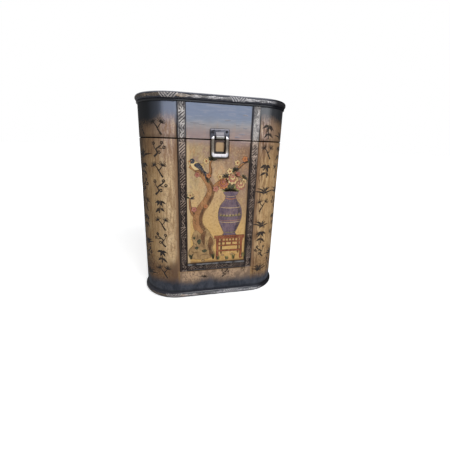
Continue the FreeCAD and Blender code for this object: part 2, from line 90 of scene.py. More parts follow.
class Field:
    """A number or colour that varies over a surface; arithmetic on fields makes shader nodes."""

    def __init__(self, shading, socket):
        self.shading = shading
        self.socket = socket

    def __add__(self, other):
        return self.shading.math("ADD", self, other)

    def __sub__(self, other):
        return self.shading.math("SUBTRACT", self, other)

    def __rsub__(self, other):
        return self.shading.math("SUBTRACT", other, self)

    def __mul__(self, other):
        return self.shading.math("MULTIPLY", self, other)

    def __neg__(self):
        return self * -1.0

    def __abs__(self):
        return self.shading.math("ABSOLUTE", self)

    def at_least(self, other):
        """The larger of this and other."""
        return self.shading.math("MAXIMUM", self, other)

    def fade(self, low, high, top=1.0):
        """Smooth step from 0, where the field is low, to top, where it is high."""
        feeds = {"Value": self, "From Min": low, "From Max": high, "To Max": top}
        return self.shading.node("ShaderNodeMapRange", feeds, interpolation_type="SMOOTHSTEP")

    def wobbled(self, noise, amount):
        """The field, moved up and down by noise by half of amount each way."""
        return self + (noise - 0.5) * amount

    def ramp(self, *stops):
        """Colour that runs through stops, each of which is a value and a screen colour."""
        node = self.shading.tree.nodes.new("ShaderNodeValToRGB")
        points = node.color_ramp.elements
        while len(points) < len(stops):
            points.new(0.5)
        for point, (place, *colour) in zip(points, stops):
            point.position = place
            point.color = srgb(*colour)
        self.shading.feed(node.inputs[0], self)
        return Field(self.shading, node.outputs[0])


class Shading:
    """A node tree that is being put together."""

    def __init__(self, tree):
        self.tree = tree

    def feed(self, socket, value):
        """A link where value is a field, and a plain setting where it isn't."""
        if isinstance(value, Field):
            self.tree.links.new(value.socket, socket)
        else:
            socket.default_value = value

    def node(self, kind, feeds, output=0, **settings):
        """Output of a new node; feeds holds values for its inputs, by name or number."""
        node = self.tree.nodes.new(kind)
        for name, value in settings.items():
            setattr(node, name, value)
        for key, value in feeds.items():
            self.feed(node.inputs[key], value)
        return Field(self, node.outputs[output])

    def math(self, operation, *values):
        return self.node("ShaderNodeMath", dict(enumerate(values)), operation=operation)

    def seen_directly(self):
        """1 for camera, glossy and transmission rays."""
        rays = ("Is Camera Ray", "Is Glossy Ray", "Is Transmission Ray")
        camera_ray, glossy, transmission = (self.node("ShaderNodeLightPath", {}, ray) for ray in rays)
        return camera_ray.at_least(glossy).at_least(transmission)


class Finish(Shading):
    """A procedural material, placed in millimetres in the part's frame; colour is its ground so far."""

    def __init__(self, name):
        self.material = bpy.data.materials.new(name)
        self.material.use_nodes = True
        super().__init__(self.material.node_tree)
        self.shader = self.tree.nodes["Principled BSDF"]
        metres = self.node("ShaderNodeTexCoord", {}, "Object")
        self.position = self.stretched(metres, (1 / MM, 1 / MM, 1 / MM))
        place = {0: self.position}
        self.x, self.y, self.z = (self.node("ShaderNodeSeparateXYZ", place, axis) for axis in "XYZ")
        self.colour = None

    def stretched(self, vector, factors):
        return self.node("ShaderNodeVectorMath", {0: vector, 1: factors}, operation="MULTIPLY")

    def noise(self, per_mm, detail=3, roughness=0.55):
        """Noise with so many features per millimetre along x, y and z."""
        place = self.stretched(self.position, per_mm)
        feeds = {"Vector": place, "Scale": 1.0, "Detail": detail, "Roughness": roughness}
        return self.node("ShaderNodeTexNoise", feeds)

    def attribute(self, name):
        """Value that a mesh carries at each of its points, and 0 on a mesh that has none."""
        return self.node("ShaderNodeAttribute", {}, "Fac", attribute_name=name)

    def outline(self):
        """Distances of a point past the flat walls, and from the line that its round end turns about."""
        past_end = (abs(self.x) - FLAT_HALF).at_least(0.0)
        return past_end, self.math("SQRT", past_end * past_end + self.y * self.y)

    def mix(self, share, first, second):
        """A share of second over first; each is a field or a screen colour."""
        first, second = (srgb(*c) if isinstance(c, tuple) else c for c in (first, second))
        return self.node("ShaderNodeMix", {0: share, 6: first, 7: second}, 2, data_type="RGBA")

    def lay(self, colour, share):
        """Lays a share of colour over the ground."""
        self.colour = self.mix(share, self.colour, colour)

    def done(self, roughness, height, depth, metallic=0.0, gloss=None):
        """Sets the shader; height is a bump of depth millimetres, and gloss a share of lacquer over it."""
        bump = self.node("ShaderNodeBump", {"Height": height, "Distance": depth * MM})
        feeds = {"Base Color": self.colour, "Roughness": roughness, "Metallic": metallic}
        feeds |= {"Normal": bump, "Coat Normal": bump}
        if gloss is not None:
            feeds |= {"Specular IOR Level": 0.0, "Coat Weight": gloss}
            feeds |= {"Coat IOR": LACQUER_IOR, "Coat Roughness": LACQUER_ROUGHNESS}
        for name, value in feeds.items():
            self.feed(self.shader.inputs[name], value)
        return self.material


# Gloss, and where stains, dark bands and the painted reflection begin and end
LACQUER_IOR = 2.4
LACQUER_ROUGHNESS = 0.16
WALL_GLOSS = 0.075
STRIP_GLOSS = 0.05
RIM_GLOSS = 0.12
METAL = 0.9
SEAM_BAND = 1.3
PANEL_SEAM_BAND = 0.65
INNER_FACE = WALL_FACE - 1.2
LID_DARK_FROM = 284.0
LID_DARK_FULL = 304.0
RIGHT_DARK_RISE = 5.0
FAR_DARK_DROP = 6.0
FOOT_DARK_FROM = 42.0
FOOT_DARK_FULL = 22.0
LEFT_SHEEN_END = 26.0
RIGHT_SHEEN_END = 14.0


def aged_lacquer():
    """Tan ground with streaks, dark at the top and the foot, brown by the strips and dark brown inside; a painted
    reflection where the ends turn to the front, and painted shade towards their far sides.
    """
    f = Finish("aged_lacquer")
    streak = f.noise((0.20, 0.20, 0.012), 5, 0.6)
    cloud = f.noise((0.030, 0.030, 0.022))
    blotch = f.noise((0.075, 0.075, 0.040), 5, 0.65)
    brush = f.noise((0.80, 0.80, 0.05), 3, 0.6)
    grit = f.noise((0.55, 0.55, 0.35), 4, 0.7)
    grain = f.noise((0.30, 0.30, 0.05), 4, 0.65)
    tone = cloud * 0.45 + streak * 0.55
    f.colour = tone.ramp(
        (0.36, 124, 90, 54), (0.46, 162, 127, 84), (0.56, 178, 143, 98), (0.66, 160, 122, 80),
    )
    f.lay((122, 88, 52), blotch.fade(0.50, 0.66, 0.55))
    f.lay((196, 164, 120), blotch.fade(0.46, 0.34, 0.40))
    f.lay((104, 72, 42), brush.fade(0.53, 0.64, 0.55))
    f.lay((210, 180, 134), brush.fade(0.47, 0.36, 0.45))
    f.lay((78, 52, 34), grit.fade(0.55, 0.64, 0.60))
    past_end, reach = f.outline()
    around = f.math("ARCTAN2", past_end, -f.y) * WALL_FACE
    low = f.z.wobbled(cloud, 24).wobbled(grit, 16)
    on_end = past_end.fade(0, 6)
    right = f.x.fade(-1, 1)
    left = 1 - right

    # Brown at the foot of the ends, more on the left, at the top of the body and on the lid; painted shade on the
    # front halves of the ends towards their far sides, deeper on the left
    f.lay((108, 77, 48), (left * 0.4 + 0.45) * low.fade(88, 48) * on_end)
    f.lay((106, 80, 60), low.fade(212, 268, 0.55))
    f.lay((98, 76, 60), low.fade(262, 280, 0.55))
    mottled = low.fade(96, 64) * on_end
    f.lay((62, 44, 38), mottled * grit.fade(0.52, 0.58, 0.55))
    f.lay((178, 142, 112), mottled * grit.fade(0.47, 0.40, 0.40))
    far_side_shade = around.fade(26, 60, 0.45) * right + around.fade(44, 82, 0.9) * left
    f.lay((58, 39, 23), far_side_shade * f.y.fade(40, -10))

    # Painted reflection, paler and greyer, where the end turns to the front, and brown close to the strips
    on_lid = f.z.fade(SEAM - 30, SEAM + 12)
    sheen_end = right * (RIGHT_SHEEN_END - LEFT_SHEEN_END) + LEFT_SHEEN_END + on_lid * (right * 6.5 - 4)
    beyond = around - sheen_end.wobbled(streak, 8)
    sheen = beyond.fade(6, -6, 0.8) + beyond.fade(26, 4, 0.2)
    pale = f.z.fade(SEAM - 72, SEAM + 18).ramp((0, 206, 175, 134), (0.45, 176, 146, 119), (1, 170, 148, 142))
    sheen_share = sheen * on_end * (0.85 - right * (1 - on_lid) * 0.6) * low.fade(50, 80)
    f.lay(pale, sheen_share)
    f.lay((140, 106, 74), sheen_share * grain.fade(0.50, 0.58, 0.75))
    f.lay((222, 194, 156), sheen_share * grain.fade(0.48, 0.40, 0.60))
    f.lay((128, 98, 72), sheen_share * grit.fade(0.51, 0.58, 0.60))
    by_frame = f.z.fade(STRIP_FOOT - 2, STRIP_FOOT + 2)
    f.lay((122, 91, 68), around.wobbled(streak, 7).fade(11.5, 1, 0.85) * by_frame * f.z.fade(276, 250))
    f.lay((94, 63, 40), around.fade(26, 6) * on_end * right * grain.fade(0.49, 0.57, 0.80))
    corner = around.wobbled(grit, 16).fade(26, 8, 0.85) * f.z.wobbled(grit, 20).fade(78, 60)
    f.lay((97, 73, 56), corner * on_end * left)

    # Dull pink with dark specks under the frame
    under = f.z.fade(STRIP_FOOT + 1, STRIP_FOOT - 4, 0.6) * past_end.fade(1, 0)
    f.lay((182, 154, 132), under)
    f.lay((66, 52, 48), under * grit.fade(0.51, 0.57).at_least(blotch.fade(0.50, 0.57, 0.8)))
    groove = f.z.fade(SEAM - 1, SEAM + 1) * 1.2 + 0.5
    f.lay((36, 30, 30), (around - groove).fade(0.6, -0.3, 0.8) * by_frame)

    # Blue-black bands at the top of the lid and at the foot; the lid's band turns blue-grey under the painted
    # reflection
    night_reflection = f.mix(right, (120, 127, 145), (96, 97, 101))
    level = low - right * RIGHT_DARK_RISE + around.fade(20, 50, FAR_DARK_DROP)
    f.lay(f.mix(sheen, (16, 19, 24), night_reflection), level.fade(LID_DARK_FROM, LID_DARK_FULL))
    foot_night = blotch.wobbled(grit, 0.3).ramp((0.38, 37, 41, 51), (0.60, 63, 66, 76))
    # Painted shadow: the foot's band is darkest just above the base
    foot_night = f.mix(f.z.fade(17, 12, 0.6), foot_night, (26, 28, 34))
    f.lay(foot_night, low.fade(FOOT_DARK_FROM, FOOT_DARK_FULL))
    from_seam = abs(f.z - SEAM)
    # Painted shade on the lid just above the seam
    f.lay((44, 33, 28), from_seam.fade(8, 1, 0.4) * f.z.fade(SEAM, SEAM + 0.5))
    f.lay((22, 17, 15), from_seam.fade(SEAM_BAND, 0.5 * SEAM_BAND))
    f.lay(tone.ramp((0.35, 38, 25, 19), (0.65, 66, 44, 33)), reach.fade(INNER_FACE + 0.4, INNER_FACE))
    return f.done(tone.fade(0.3, 0.7, 0.18) + 0.24, grit * 0.4 + streak, depth=0.10, gloss=WALL_GLOSS)


# The painted shadow of the bail: how far it is dropped and shifted, and how round its corners are
BAIL_SHADOW_DROP = 1.1
BAIL_SHADOW_SHIFT = 1.0
BAIL_SHADOW_CORNER = 4.0


def painted_bail_shadow(f):
    """Shares of painted shadow round the ring of the hanging bail, set a little right of and below it, and of
    lighter ground in the middle of it.
    """
    across = abs(f.x - BAIL_SHADOW_SHIFT) - 0.5 * (BAIL_HIGH.x + BAIL_WINDOW_HALF)
    upward = abs(f.z - (0.5 * (BAIL_LOW.z + BAIL_HIGH.z) - BAIL_SHADOW_DROP)) - 0.5 * (BAIL_HIGH.z - BAIL_LEDGE)
    off = f.math("SMOOTH_MAX", across, upward, BAIL_SHADOW_CORNER)
    return abs(off).fade(5.4, 3.6) * f.z.fade(SEAM - 0.6, SEAM - 2.4), off.fade(-4, -5.2)


def picture_ground():
    """Painted board: ochre below, mauve above, grey-blue towards the top of the lid as a painted reflection, with
    brown edges and painted shadows along the strips and round the bail.
    """
    f = Finish("picture_ground")
    streak = f.noise((0.12, 0.12, 0.018), 5, 0.6)
    cloud = f.noise((0.045, 0.045, 0.03), 4)
    grit = f.noise((0.9, 0.9, 0.7), 3, 0.65)
    patchy = f.noise((0.055, 0.055, 0.035), 4, 0.65)
    fine = f.noise((0.42, 0.42, 0.36), 3, 0.65)
    wrinkle = f.noise((0.06, 0.06, 0.45), 3, 0.6)
    high = f.z.wobbled(cloud, 40).wobbled(streak, 24)
    f.colour = f.math("DIVIDE", high - PANEL_LOW.z, SEAM - PANEL_LOW.z).ramp(
        (0.00, 184, 144, 86), (0.14, 200, 160, 98), (0.40, 197, 160, 106),
        (0.70, 190, 160, 122), (0.86, 170, 142, 114), (1.00, 138, 116, 108),
    )
    f.lay((142, 108, 86), streak.fade(0.46, 0.66) * high.fade(120, 225, 0.8))
    f.lay((130, 102, 84), f.x.wobbled(cloud, 50).fade(0, 36) * high.fade(110, 235, 0.9))
    f.lay((176, 158, 108), f.x.wobbled(cloud, 40).fade(-10, -36) * high.fade(150, 215, 0.4))
    upper = high.fade(130, 235)
    f.lay((148, 120, 110), patchy.fade(0.50, 0.62, 0.65) * upper)
    f.lay((188, 142, 102), patchy.fade(0.47, 0.37, 0.55) * upper)
    f.lay((138, 102, 66), fine.fade(0.53, 0.64, 0.40))
    f.lay((214, 182, 132), fine.fade(0.47, 0.36, 0.30))
    f.lay((126, 88, 52), grit.fade(0.58, 0.72, 0.35))

    # The lid's part, mauve at the seam and blue-grey at the top, the blue-grey a painted reflection
    sky = f.z.wobbled(cloud, 8)
    veil_and_reflection = sky.fade(270, 304).ramp(
        (0.0, 147, 127, 125), (0.35, 147, 138, 137), (0.55, 146, 143, 146),
        (0.78, 130, 136, 150), (1.0, 117, 127, 149),
    )
    veil_and_reflection = f.mix(streak.fade(0.48, 0.66, 0.35) * sky.fade(300, 280), veil_and_reflection, (168, 138, 118))
    veil_and_reflection = f.mix(wrinkle.fade(0.53, 0.64, 0.20), veil_and_reflection, (172, 164, 164))
    veil_and_reflection = f.mix(wrinkle.fade(0.47, 0.36, 0.20), veil_and_reflection, (108, 108, 120))
    f.lay(veil_and_reflection, f.z.fade(SEAM - 14, SEAM + 4))

    # Brown at the right and lower edges, pale by the left edge, painted shadow along the strips and round the
    # bail, and the seam
    inset = f.math("MINIMUM", PANEL_HIGH.x - f.x, f.z - (PANEL_LOW.z + 1.2))
    below_lid = f.z.fade(SEAM + 4, SEAM - 20)
    edge = inset.wobbled(cloud, 7).fade(5, 0, 0.6) * below_lid
    f.lay((92, 62, 42), edge.at_least(f.z.wobbled(cloud, 8).fade(PANEL_LOW.z + 3, PANEL_LOW.z - 1, 0.5)))
    f.lay((200, 172, 134), (f.x - PANEL_LOW.x).fade(6, 2.5, 0.75) * below_lid)
    # Painted shadow: a thin dark line where the panel meets the right and bottom strips
    f.lay((34, 28, 28), inset.fade(1.5, 0.3, 0.85))
    # Painted shadow of the bail's ring on the panel, with lighter ground inside it
    ring_shadow, ring_middle = painted_bail_shadow(f)
    f.lay((180, 149, 111), ring_middle * 0.8)
    f.lay((38, 27, 20), ring_shadow * 0.88)
    from_seam = abs(f.z - SEAM)
    f.lay((196, 174, 162), from_seam.fade(3.2, 1.8) * cloud.fade(0.46, 0.56, 0.45))
    f.lay((26, 20, 18), from_seam.fade(2 * PANEL_SEAM_BAND, PANEL_SEAM_BAND))
    return f.done(cloud.fade(0.3, 0.7, 0.16) + 0.24, grit * 0.5 + streak, depth=0.10, gloss=WALL_GLOSS)


def brushed_paint(name, light, dark, worn=(180, 146, 98), wear=0.5):
    """Paint that varies from light to dark along the brush, worn through to the ground in places."""
    f = Finish(name)
    stroke = f.noise((0.35, 0.35, 0.12), 4, 0.6)
    cloud = f.noise((0.07, 0.07, 0.06), 2)
    grit = f.noise((0.8, 0.8, 0.8), 4, 0.7)
    f.colour = (cloud * 0.5 + stroke * 0.5).ramp((0.40, *dark), (0.60, *light))
    f.lay(worn, grit.wobbled(cloud, 0.2).fade(0.54, 0.68, wear))
    return f.done(grit * 0.2 + 0.3, stroke + grit, depth=0.05, gloss=WALL_GLOSS)


def carved_strip_finish():
    """Near-black wood with gold rubbing on whatever stands high, paler and greyer towards the top, partly as a
    painted reflection.
    """
    f = Finish("carved_strip")
    grain = f.noise((0.25, 0.25, 0.05), 4)
    grit = f.noise((0.9, 0.9, 0.9), 4, 0.7)
    dulled = f.noise((0.10, 0.10, 0.10))
    # Paler, greyer and more gilded towards the top, partly a painted reflection
    rise = f.z.fade(200, 296)
    on_lid = f.z.fade(SEAM - 4, SEAM + 4)
    right = f.x.fade(0, 1)
    out = -f.y - WALL_FACE
    rub = (out.wobbled(grit, 1.2) + rise * (right * 0.45 + 0.3)).fade(1.85, 2.45)
    dark = grain.ramp((0.35, 20, 15, 15), (0.65, 40, 30, 29))
    dark = f.mix(f.z.fade(SEAM - 4, SEAM + 10, 0.8), dark, (40, 43, 54))
    brown_field = grit.ramp((0.36, 18, 13, 12), (0.64, 50, 39, 36))
    grey_field = grit.ramp((0.36, 54, 48, 48), (0.64, 106, 98, 97))
    brown = grit.ramp((0.35, 96, 79, 69), (0.65, 164, 143, 129))
    beige = grit.ramp((0.35, 158, 137, 123), (0.65, 222, 201, 186))
    silver = grit.ramp((0.35, 152, 146, 145), (0.65, 212, 206, 202))
    f.colour = f.mix(rise, brown_field, grey_field)
    f.lay(f.mix(rise, brown, f.mix(on_lid, beige, silver)), rub)
    f.lay(dark, dulled.fade(0.46, 0.62, 0.6))

    # Dark rolls at the edges, and a painted highlight in places along the upper roll of the bottom strip
    centre = right * 0.5 + (FLAT_HALF - 0.5 * STRIP_WIDTH)
    across = abs(abs(f.x) - centre) - f.z.fade(205, 240, 0.5)
    inner_edge = FLAT_HALF - STRIP_WIDTH
    is_bottom = abs(f.x).fade(inner_edge + 0.1, inner_edge - 0.1)
    from_middle = across + is_bottom * (abs(f.z - (STRIP_FOOT + 0.5 * STRIP_WIDTH)) - across)
    f.lay(dark, is_bottom * 0.45)
    f.lay(dark, from_middle.fade(BAND_HALF - 0.3, BAND_HALF + 0.5, 0.9))
    pale = f.z.fade(STRIP_TOP - 2.6, STRIP_TOP - 1.8) * is_bottom
    f.lay((124, 123, 124), pale * dulled.wobbled(grit, 0.3).fade(0.66, 0.44, 0.75))
    return f.done(grit * 0.2 + 0.3, grit, depth=0.08, gloss=STRIP_GLOSS)


# Where the painted shade at the right end of the rims, and at the left tip, begins and is full
RIM_SHADE_FROM = 74.0
RIM_SHADE_FULL = 92.0
TIP_SHADE_FROM = -98.0
TIP_SHADE_FULL = -112.0


def gilding(f, grit, end_shade):
    """Colour and share of the rims' gilding: silver on the ties, warmer on the leaves towards the left, with the
    silver partly a painted reflection; worn in places and left off in the painted shade at the ends.
    """
    tied = f.attribute("tied")
    long_patch = f.noise((0.03, 0.03, 0.10), 4, 0.65)
    flecks = f.noise((0.35, 0.35, 0.5), 3, 0.6)
    warm = grit.ramp((0.35, 116, 95, 78), (0.65, 204, 181, 157))
    cool = grit.ramp((0.35, 122, 120, 127), (0.65, 208, 204, 205))
    warmth = f.x.wobbled(long_patch, 120).fade(-20, -70) * (1 - tied * 0.7)
    worn = long_patch.wobbled(grit, 0.3).fade(0.54, 0.42).at_least(flecks.fade(0.54, 0.61))
    worn = (worn * (0.75 - tied * 0.5)).at_least(end_shade * 0.98)
    gold = f.mix(worn, f.mix(warmth, cool, warm), (32, 31, 34))
    return gold, f.attribute("carved").wobbled(grit, 0.25).fade(0.10, 0.40)


def dark_rim_finish():
    """Near-black lacquer with gilded carving, painted shade at the right end and at the left tip, a painted
    reflection along the upper rounded edge, and worn to tan on the top.
    """
    f = Finish("dark_rim")
    grit = f.noise((0.6, 0.6, 0.9), 4, 0.7)
    cloud = f.noise((0.03, 0.03, 0.03), 4)
    along = f.x.wobbled(grit, 10)
    # Painted shade at the right end and at the left tip
    end_shade = along.fade(RIM_SHADE_FROM, RIM_SHADE_FULL)
    tip = along.fade(TIP_SHADE_FROM, TIP_SHADE_FULL, 0.85)
    topmost = f.z.fade(RIM_TOP - 0.6, RIM_TOP - 0.2)
    # Painted reflection along the rounded upper edge of the top rim, less on its flat top and none at the right
    # end
    shoulder_sheen = f.z.wobbled(grit, 2.4).fade(RIM_TOP - 2.6, RIM_TOP - 0.8, 0.85)
    f.colour = grit.ramp((0.35, 24, 26, 36), (0.55, 44, 45, 56), (0.76, 92, 84, 78))
    f.lay((132, 133, 144), shoulder_sheen * (1 - topmost * 0.7) * (1 - end_shade))
    f.lay((22, 20, 19), end_shade * 0.7)
    f.lay(*gilding(f, grit, end_shade.at_least(tip)))
    above_seam = f.z.fade(SEAM, SEAM + 5)
    # Painted shade under the top rim
    f.lay((11, 12, 18), f.z.fade(RIM_FOOT + 0.1, RIM_FOOT - 0.5) * above_seam * 0.9)
    reach = f.outline()[1]
    tan = cloud.ramp((0.32, 120, 88, 60), (0.50, 170, 136, 96), (0.68, 156, 122, 88))
    tan = f.mix(grit.fade(0.58, 0.72, 0.5), tan, (92, 64, 44))
    f.lay(tan, reach.wobbled(cloud, 26).fade(WALL_FACE - 4, WALL_FACE - 24) * topmost)
    under_lid = reach.fade(INNER_FACE, INNER_FACE - 1) * above_seam * f.z.fade(RIM_FOOT + 1, RIM_FOOT + 0.2)
    f.lay(grit.ramp((0.35, 40, 27, 20), (0.65, 68, 46, 34)), under_lid)
    # Less gloss in the painted shade at the right end
    return f.done(grit * 0.22 + 0.3, grit, depth=0.10, gloss=(1 - end_shade * 0.85) * RIM_GLOSS)


def inner_floor_finish():
    """Plain dark brown lacquer with a little dust."""
    f = Finish("inner_floor")
    grain = f.noise((0.03, 0.25, 0.25), 5, 0.6)
    dust = f.noise((0.5, 0.5, 0.5), 4, 0.7)
    f.colour = grain.ramp((0.35, 40, 26, 20), (0.65, 72, 48, 36))
    f.lay((112, 94, 78), dust.fade(0.58, 0.74, 0.3))
    return f.done(dust * 0.3 + 0.25, grain, depth=0.08)


def brushed_metal(name, brush=1.6):
    """New finish for a metal, with the noises of its brushing and its pits."""
    f = Finish(name)
    return f, f.noise((brush, 0.3, 0.35), 4), f.noise((1.3, 1.3, 1.3), 3, 0.6)


def worn_metal(name, base, bright, spots, roughness):
    """Plated metal with brushed tone, brighter patches where it is handled and dark spots."""
    f, brushed, pits = brushed_metal(name)
    patch = f.noise((0.16, 0.16, 0.16), 4, 0.65)
    f.colour = patch.wobbled(brushed, 0.3).ramp((0.38, *base), (0.66, *bright))
    f.lay(spots, pits.fade(0.60, 0.70, 0.5))
    return f.done(patch * 0.22 + roughness, pits * 0.6 + brushed, depth=0.03, metallic=METAL)


PLATE_FACE = PANEL_FACE + 1.5
STRAP_HALF = 6.0


def latch_metal():
    """Gunmetal plate with a painted highlight along its upper edge, a paler strap lighter towards its top as a
    painted highlight, and painted shade, nearly black, low down on the catch.
    """
    f, brushed, pits = brushed_metal("latch_metal")
    patch = f.noise((0.12, 0.12, 0.12), 3, 0.6)
    half, _, top = PLATE_HIGH
    f.colour = patch.wobbled(brushed, 0.25).ramp((0.36, 30, 31, 36), (0.64, 88, 88, 96))
    # Painted highlight along the upper edge
    f.lay((128, 124, 130), f.z.wobbled(brushed, 1).fade(top - 2.6, top - 1.6, 0.8))
    f.lay((36, 32, 34), f.z.fade(top - 0.8, top - 0.3))
    f.lay((30, 27, 29), abs(f.x).fade(half - 0.9, half - 0.4))
    f.lay((24, 22, 24), pits.fade(0.56, 0.66, 0.7))
    # Paler strap, lighter towards its top as a painted highlight
    strap = f.z.fade(SEAM, SEAM + 10).wobbled(pits, 0.3).ramp(
        (0.10, 126, 124, 120), (0.36, 108, 106, 106), (0.55, 112, 110, 114), (0.85, 156, 152, 158),
    )
    on_strap = (-f.y).fade(PLATE_FACE + 0.05, PLATE_FACE + 0.25)
    f.lay(strap, on_strap * abs(f.x).fade(STRAP_HALF + 0.3, STRAP_HALF + 0.1))
    # Painted shade, nearly black, on the catch behind the bail's foot
    f.lay((24, 19, 17), f.z.fade(SEAM - 6, SEAM - 12, 0.85))
    return f.done(patch * 0.2 + 0.28, pits * 0.6 + brushed, depth=0.03, metallic=METAL)


def bail_metal():
    """Tarnished brown nickel, lighter on the foot and the shoulders as a painted highlight and brightest on the
    shoulders' bends, with painted shade on the ring's inner edges and back.
    """
    f, brushed, pits = brushed_metal("bail_metal", brush=1.2)
    place = f.z.wobbled(brushed, 1.6)
    foot = place.fade(BAIL_LEDGE + 1.6, BAIL_LEDGE - 0.6)
    shoulders = place.fade(BAIL_TOP - 3.2, BAIL_TOP - 1.4)
    f.colour = brushed.ramp((0.36, 76, 69, 62), (0.64, 106, 99, 92))
    # Painted highlight on the foot and the shoulders
    f.lay(brushed.ramp((0.36, 92, 90, 93), (0.64, 122, 120, 124)), foot.at_least(shoulders))
    f.lay((72, 64, 58), pits.fade(0.60, 0.70, 0.4))
    # Painted shade on the inner edges of the ring and on its back
    side = abs(f.x) - BAIL_WINDOW_HALF
    inside = side.fade(1.5, 0.5) * f.z.fade(BAIL_LEDGE - 1.6, BAIL_LEDGE - 0.5)
    behind = (f.y + BAIL_AXIS_DEPTH).fade(0.2, 0.9) * f.z.fade(BAIL_LEDGE - 2.2, BAIL_LEDGE + 3.8)
    f.lay((26, 21, 18), inside.at_least(behind))
    # Brighter painted highlight on the bends of the shoulders
    f.lay((206, 203, 207), place.fade(BAIL_TOP - 4.6, BAIL_TOP - 3) * side.fade(0.8, 1.4))
    return f.done(brushed * 0.18 + 0.24, pits * 0.6 + brushed, depth=0.03, metallic=METAL)


# Meshes

def new_piece(name, points, faces, materials, face_materials=None, sharp=40.0):
    """Mesh object from points in millimetres; edges sharper than sharp degrees stay crisp."""
    mesh = bpy.data.meshes.new(name)
    mesh.from_pydata([Vector(p) * MM for p in points], [], faces)
    for material in materials:
        mesh.materials.append(material)
    if face_materials is not None:
        mesh.polygons.foreach_set("material_index", face_materials)
    mesh.shade_smooth()
    mesh.set_sharp_from_angle(angle=math.radians(sharp))
    mesh.validate()
    piece = bpy.data.objects.new(name, mesh)
    bpy.context.scene.collection.objects.link(piece)
    return piece


def fit(piece, body, slot, *replaced):
    """Puts a piece on its body, in place of any CAD nodes named, which it hides; slot is not used."""
    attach(piece, body)
    if replaced:
        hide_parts(*replaced)


def ring_faces(count, size, spans):
    """Faces of a closed row of count sections with size points each; spans faces join each to the next."""
    faces = []
    for i in range(count):
        j = (i + 1) % count
        for k in range(spans):
            m = (k + 1) % size
            faces.append((i * size + k, j * size + k, j * size + m, i * size + m))
    return faces


def turned(angle):
    """Unit vector at an angle in degrees, anticlockwise from the right."""
    return Vector((math.cos(math.radians(angle)), math.sin(math.radians(angle))))


def quarter(start, steps):
    """Unit vectors of a quarter turn that starts at an angle."""
    return [turned(start + 90 * i / steps) for i in range(steps + 1)]


def curve_through(points, per_span=5, closed=False):
    """Smooth line through points, with per_span steps from one to the next."""
    points = [Vector(p) for p in points]
    if closed:
        row = [points[-1], *points, *points[:2]]
    else:
        row = [2 * points[0] - points[1], *points, 2 * points[-1] - points[-2]]
    line = []
    for before, start, end, after in zip(row, row[1:], row[2:], row[3:]):
        for step in range(per_span):
            t = step / per_span
            line.append(0.5 * (
                2 * start + (end - before) * t
                + (2 * before - 5 * start + 4 * end - after) * t ** 2
                + (3 * start - before - 3 * end + after) * t ** 3
            ))
    return line if closed else [*line, points[-1]]


def wall_point(along, z, lift):
    """Point on the outside of the walls, along their outline from the middle of the front, lifted out."""
    side = math.copysign(1.0, along)
    rest = abs(along)
    reach = WALL_FACE + lift
    if rest <= FLAT_HALF:
        return Vector((along, -reach, z))
    if rest <= FLAT_HALF + TURN_LENGTH:
        turn = (rest - FLAT_HALF) / WALL_FACE
        return Vector((side * (FLAT_HALF + reach * math.sin(turn)), -reach * math.cos(turn), z))
    return Vector((side * (2 * FLAT_HALF + TURN_LENGTH - rest), reach, z))


def panel_point(x, z, lift):
    """Point on the face of the picture panel, lifted forwards."""
    return Vector((x, -PANEL_FACE - lift, z))


# Carved strips

BAND_HEIGHT = 1.6
ROLL_RADIUS = 1.3
BAND_HALF = 0.5 * STRIP_WIDTH - 2 * ROLL_RADIUS
SCROLL_PERIOD = 13.0
SCROLL_SWING = 2.0
SCROLL_STRETCH = 26.0
VINE_HALF = 0.95
LEAF_LEAN = 30.0
LEAF_OFFSET = 1.2
LEAF_HALF_LENGTH = 2.7
LEAF_HALF_WIDTH = 1.15
TWIST_PITCH = 4.4
TWIST_LEAN = 0.9
TWIST_SHARE = 0.31
BAR_HALF = 1.0
STRETCH = SCROLL_STRETCH + 4 * TWIST_PITCH
RELIEF = 0.95
STRIP_STEP = 0.55
STRIP_COLUMNS = 34


def ridge(distance, half):
    """Height, from 0 to 1, of a rounded ridge at a distance from its middle line."""
    share = abs(distance) / half
    return math.sqrt(1 - share * share) if share < 1 else 0.0


def scroll(across, along):
    """Height, from 0 to 1, of a scrolling vine with a leaf in each bend."""
    phase = 2 * math.pi * along / SCROLL_PERIOD
    slope = SCROLL_SWING * 2 * math.pi / SCROLL_PERIOD * math.cos(phase)
    vine = ridge((across - SCROLL_SWING * math.sin(phase)) / math.hypot(1, slope), VINE_HALF)
    turn = round(2 * along / SCROLL_PERIOD - 0.5)
    side = 1 if turn % 2 else -1
    centre = (turn + 0.5) * SCROLL_PERIOD / 2
    off = Vector((across - side * LEAF_OFFSET, along - centre))
    ahead = turned(90 - side * LEAF_LEAN)
    leaf = math.hypot(off.dot(ahead) / LEAF_HALF_LENGTH, off.cross(ahead) / LEAF_HALF_WIDTH)
    return max(vine, ridge(leaf, 1.0))


def twist(across, along):
    """Height, from 0 to 1, of a row of slanting strands."""
    return ridge((along - TWIST_LEAN * across) / TWIST_PITCH % 1.0 - 0.5, TWIST_SHARE)


def strip_height(across, along):
    """Height of a strip's face above the wall: a roll at each edge, and vine and twist between them."""
    inset = 0.5 * STRIP_WIDTH - abs(across)
    if inset <= 2 * ROLL_RADIUS:
        return ROLL_RADIUS + math.sqrt(max(0.0, ROLL_RADIUS ** 2 - (inset - ROLL_RADIUS) ** 2))
    place = along % STRETCH
    carved = scroll(across, place) if place < SCROLL_STRETCH else twist(across, place - SCROLL_STRETCH)
    bar = ridge(min(place, abs(place - SCROLL_STRETCH), STRETCH - place), BAR_HALF)
    return BAND_HEIGHT + RELIEF * max(carved, bar)


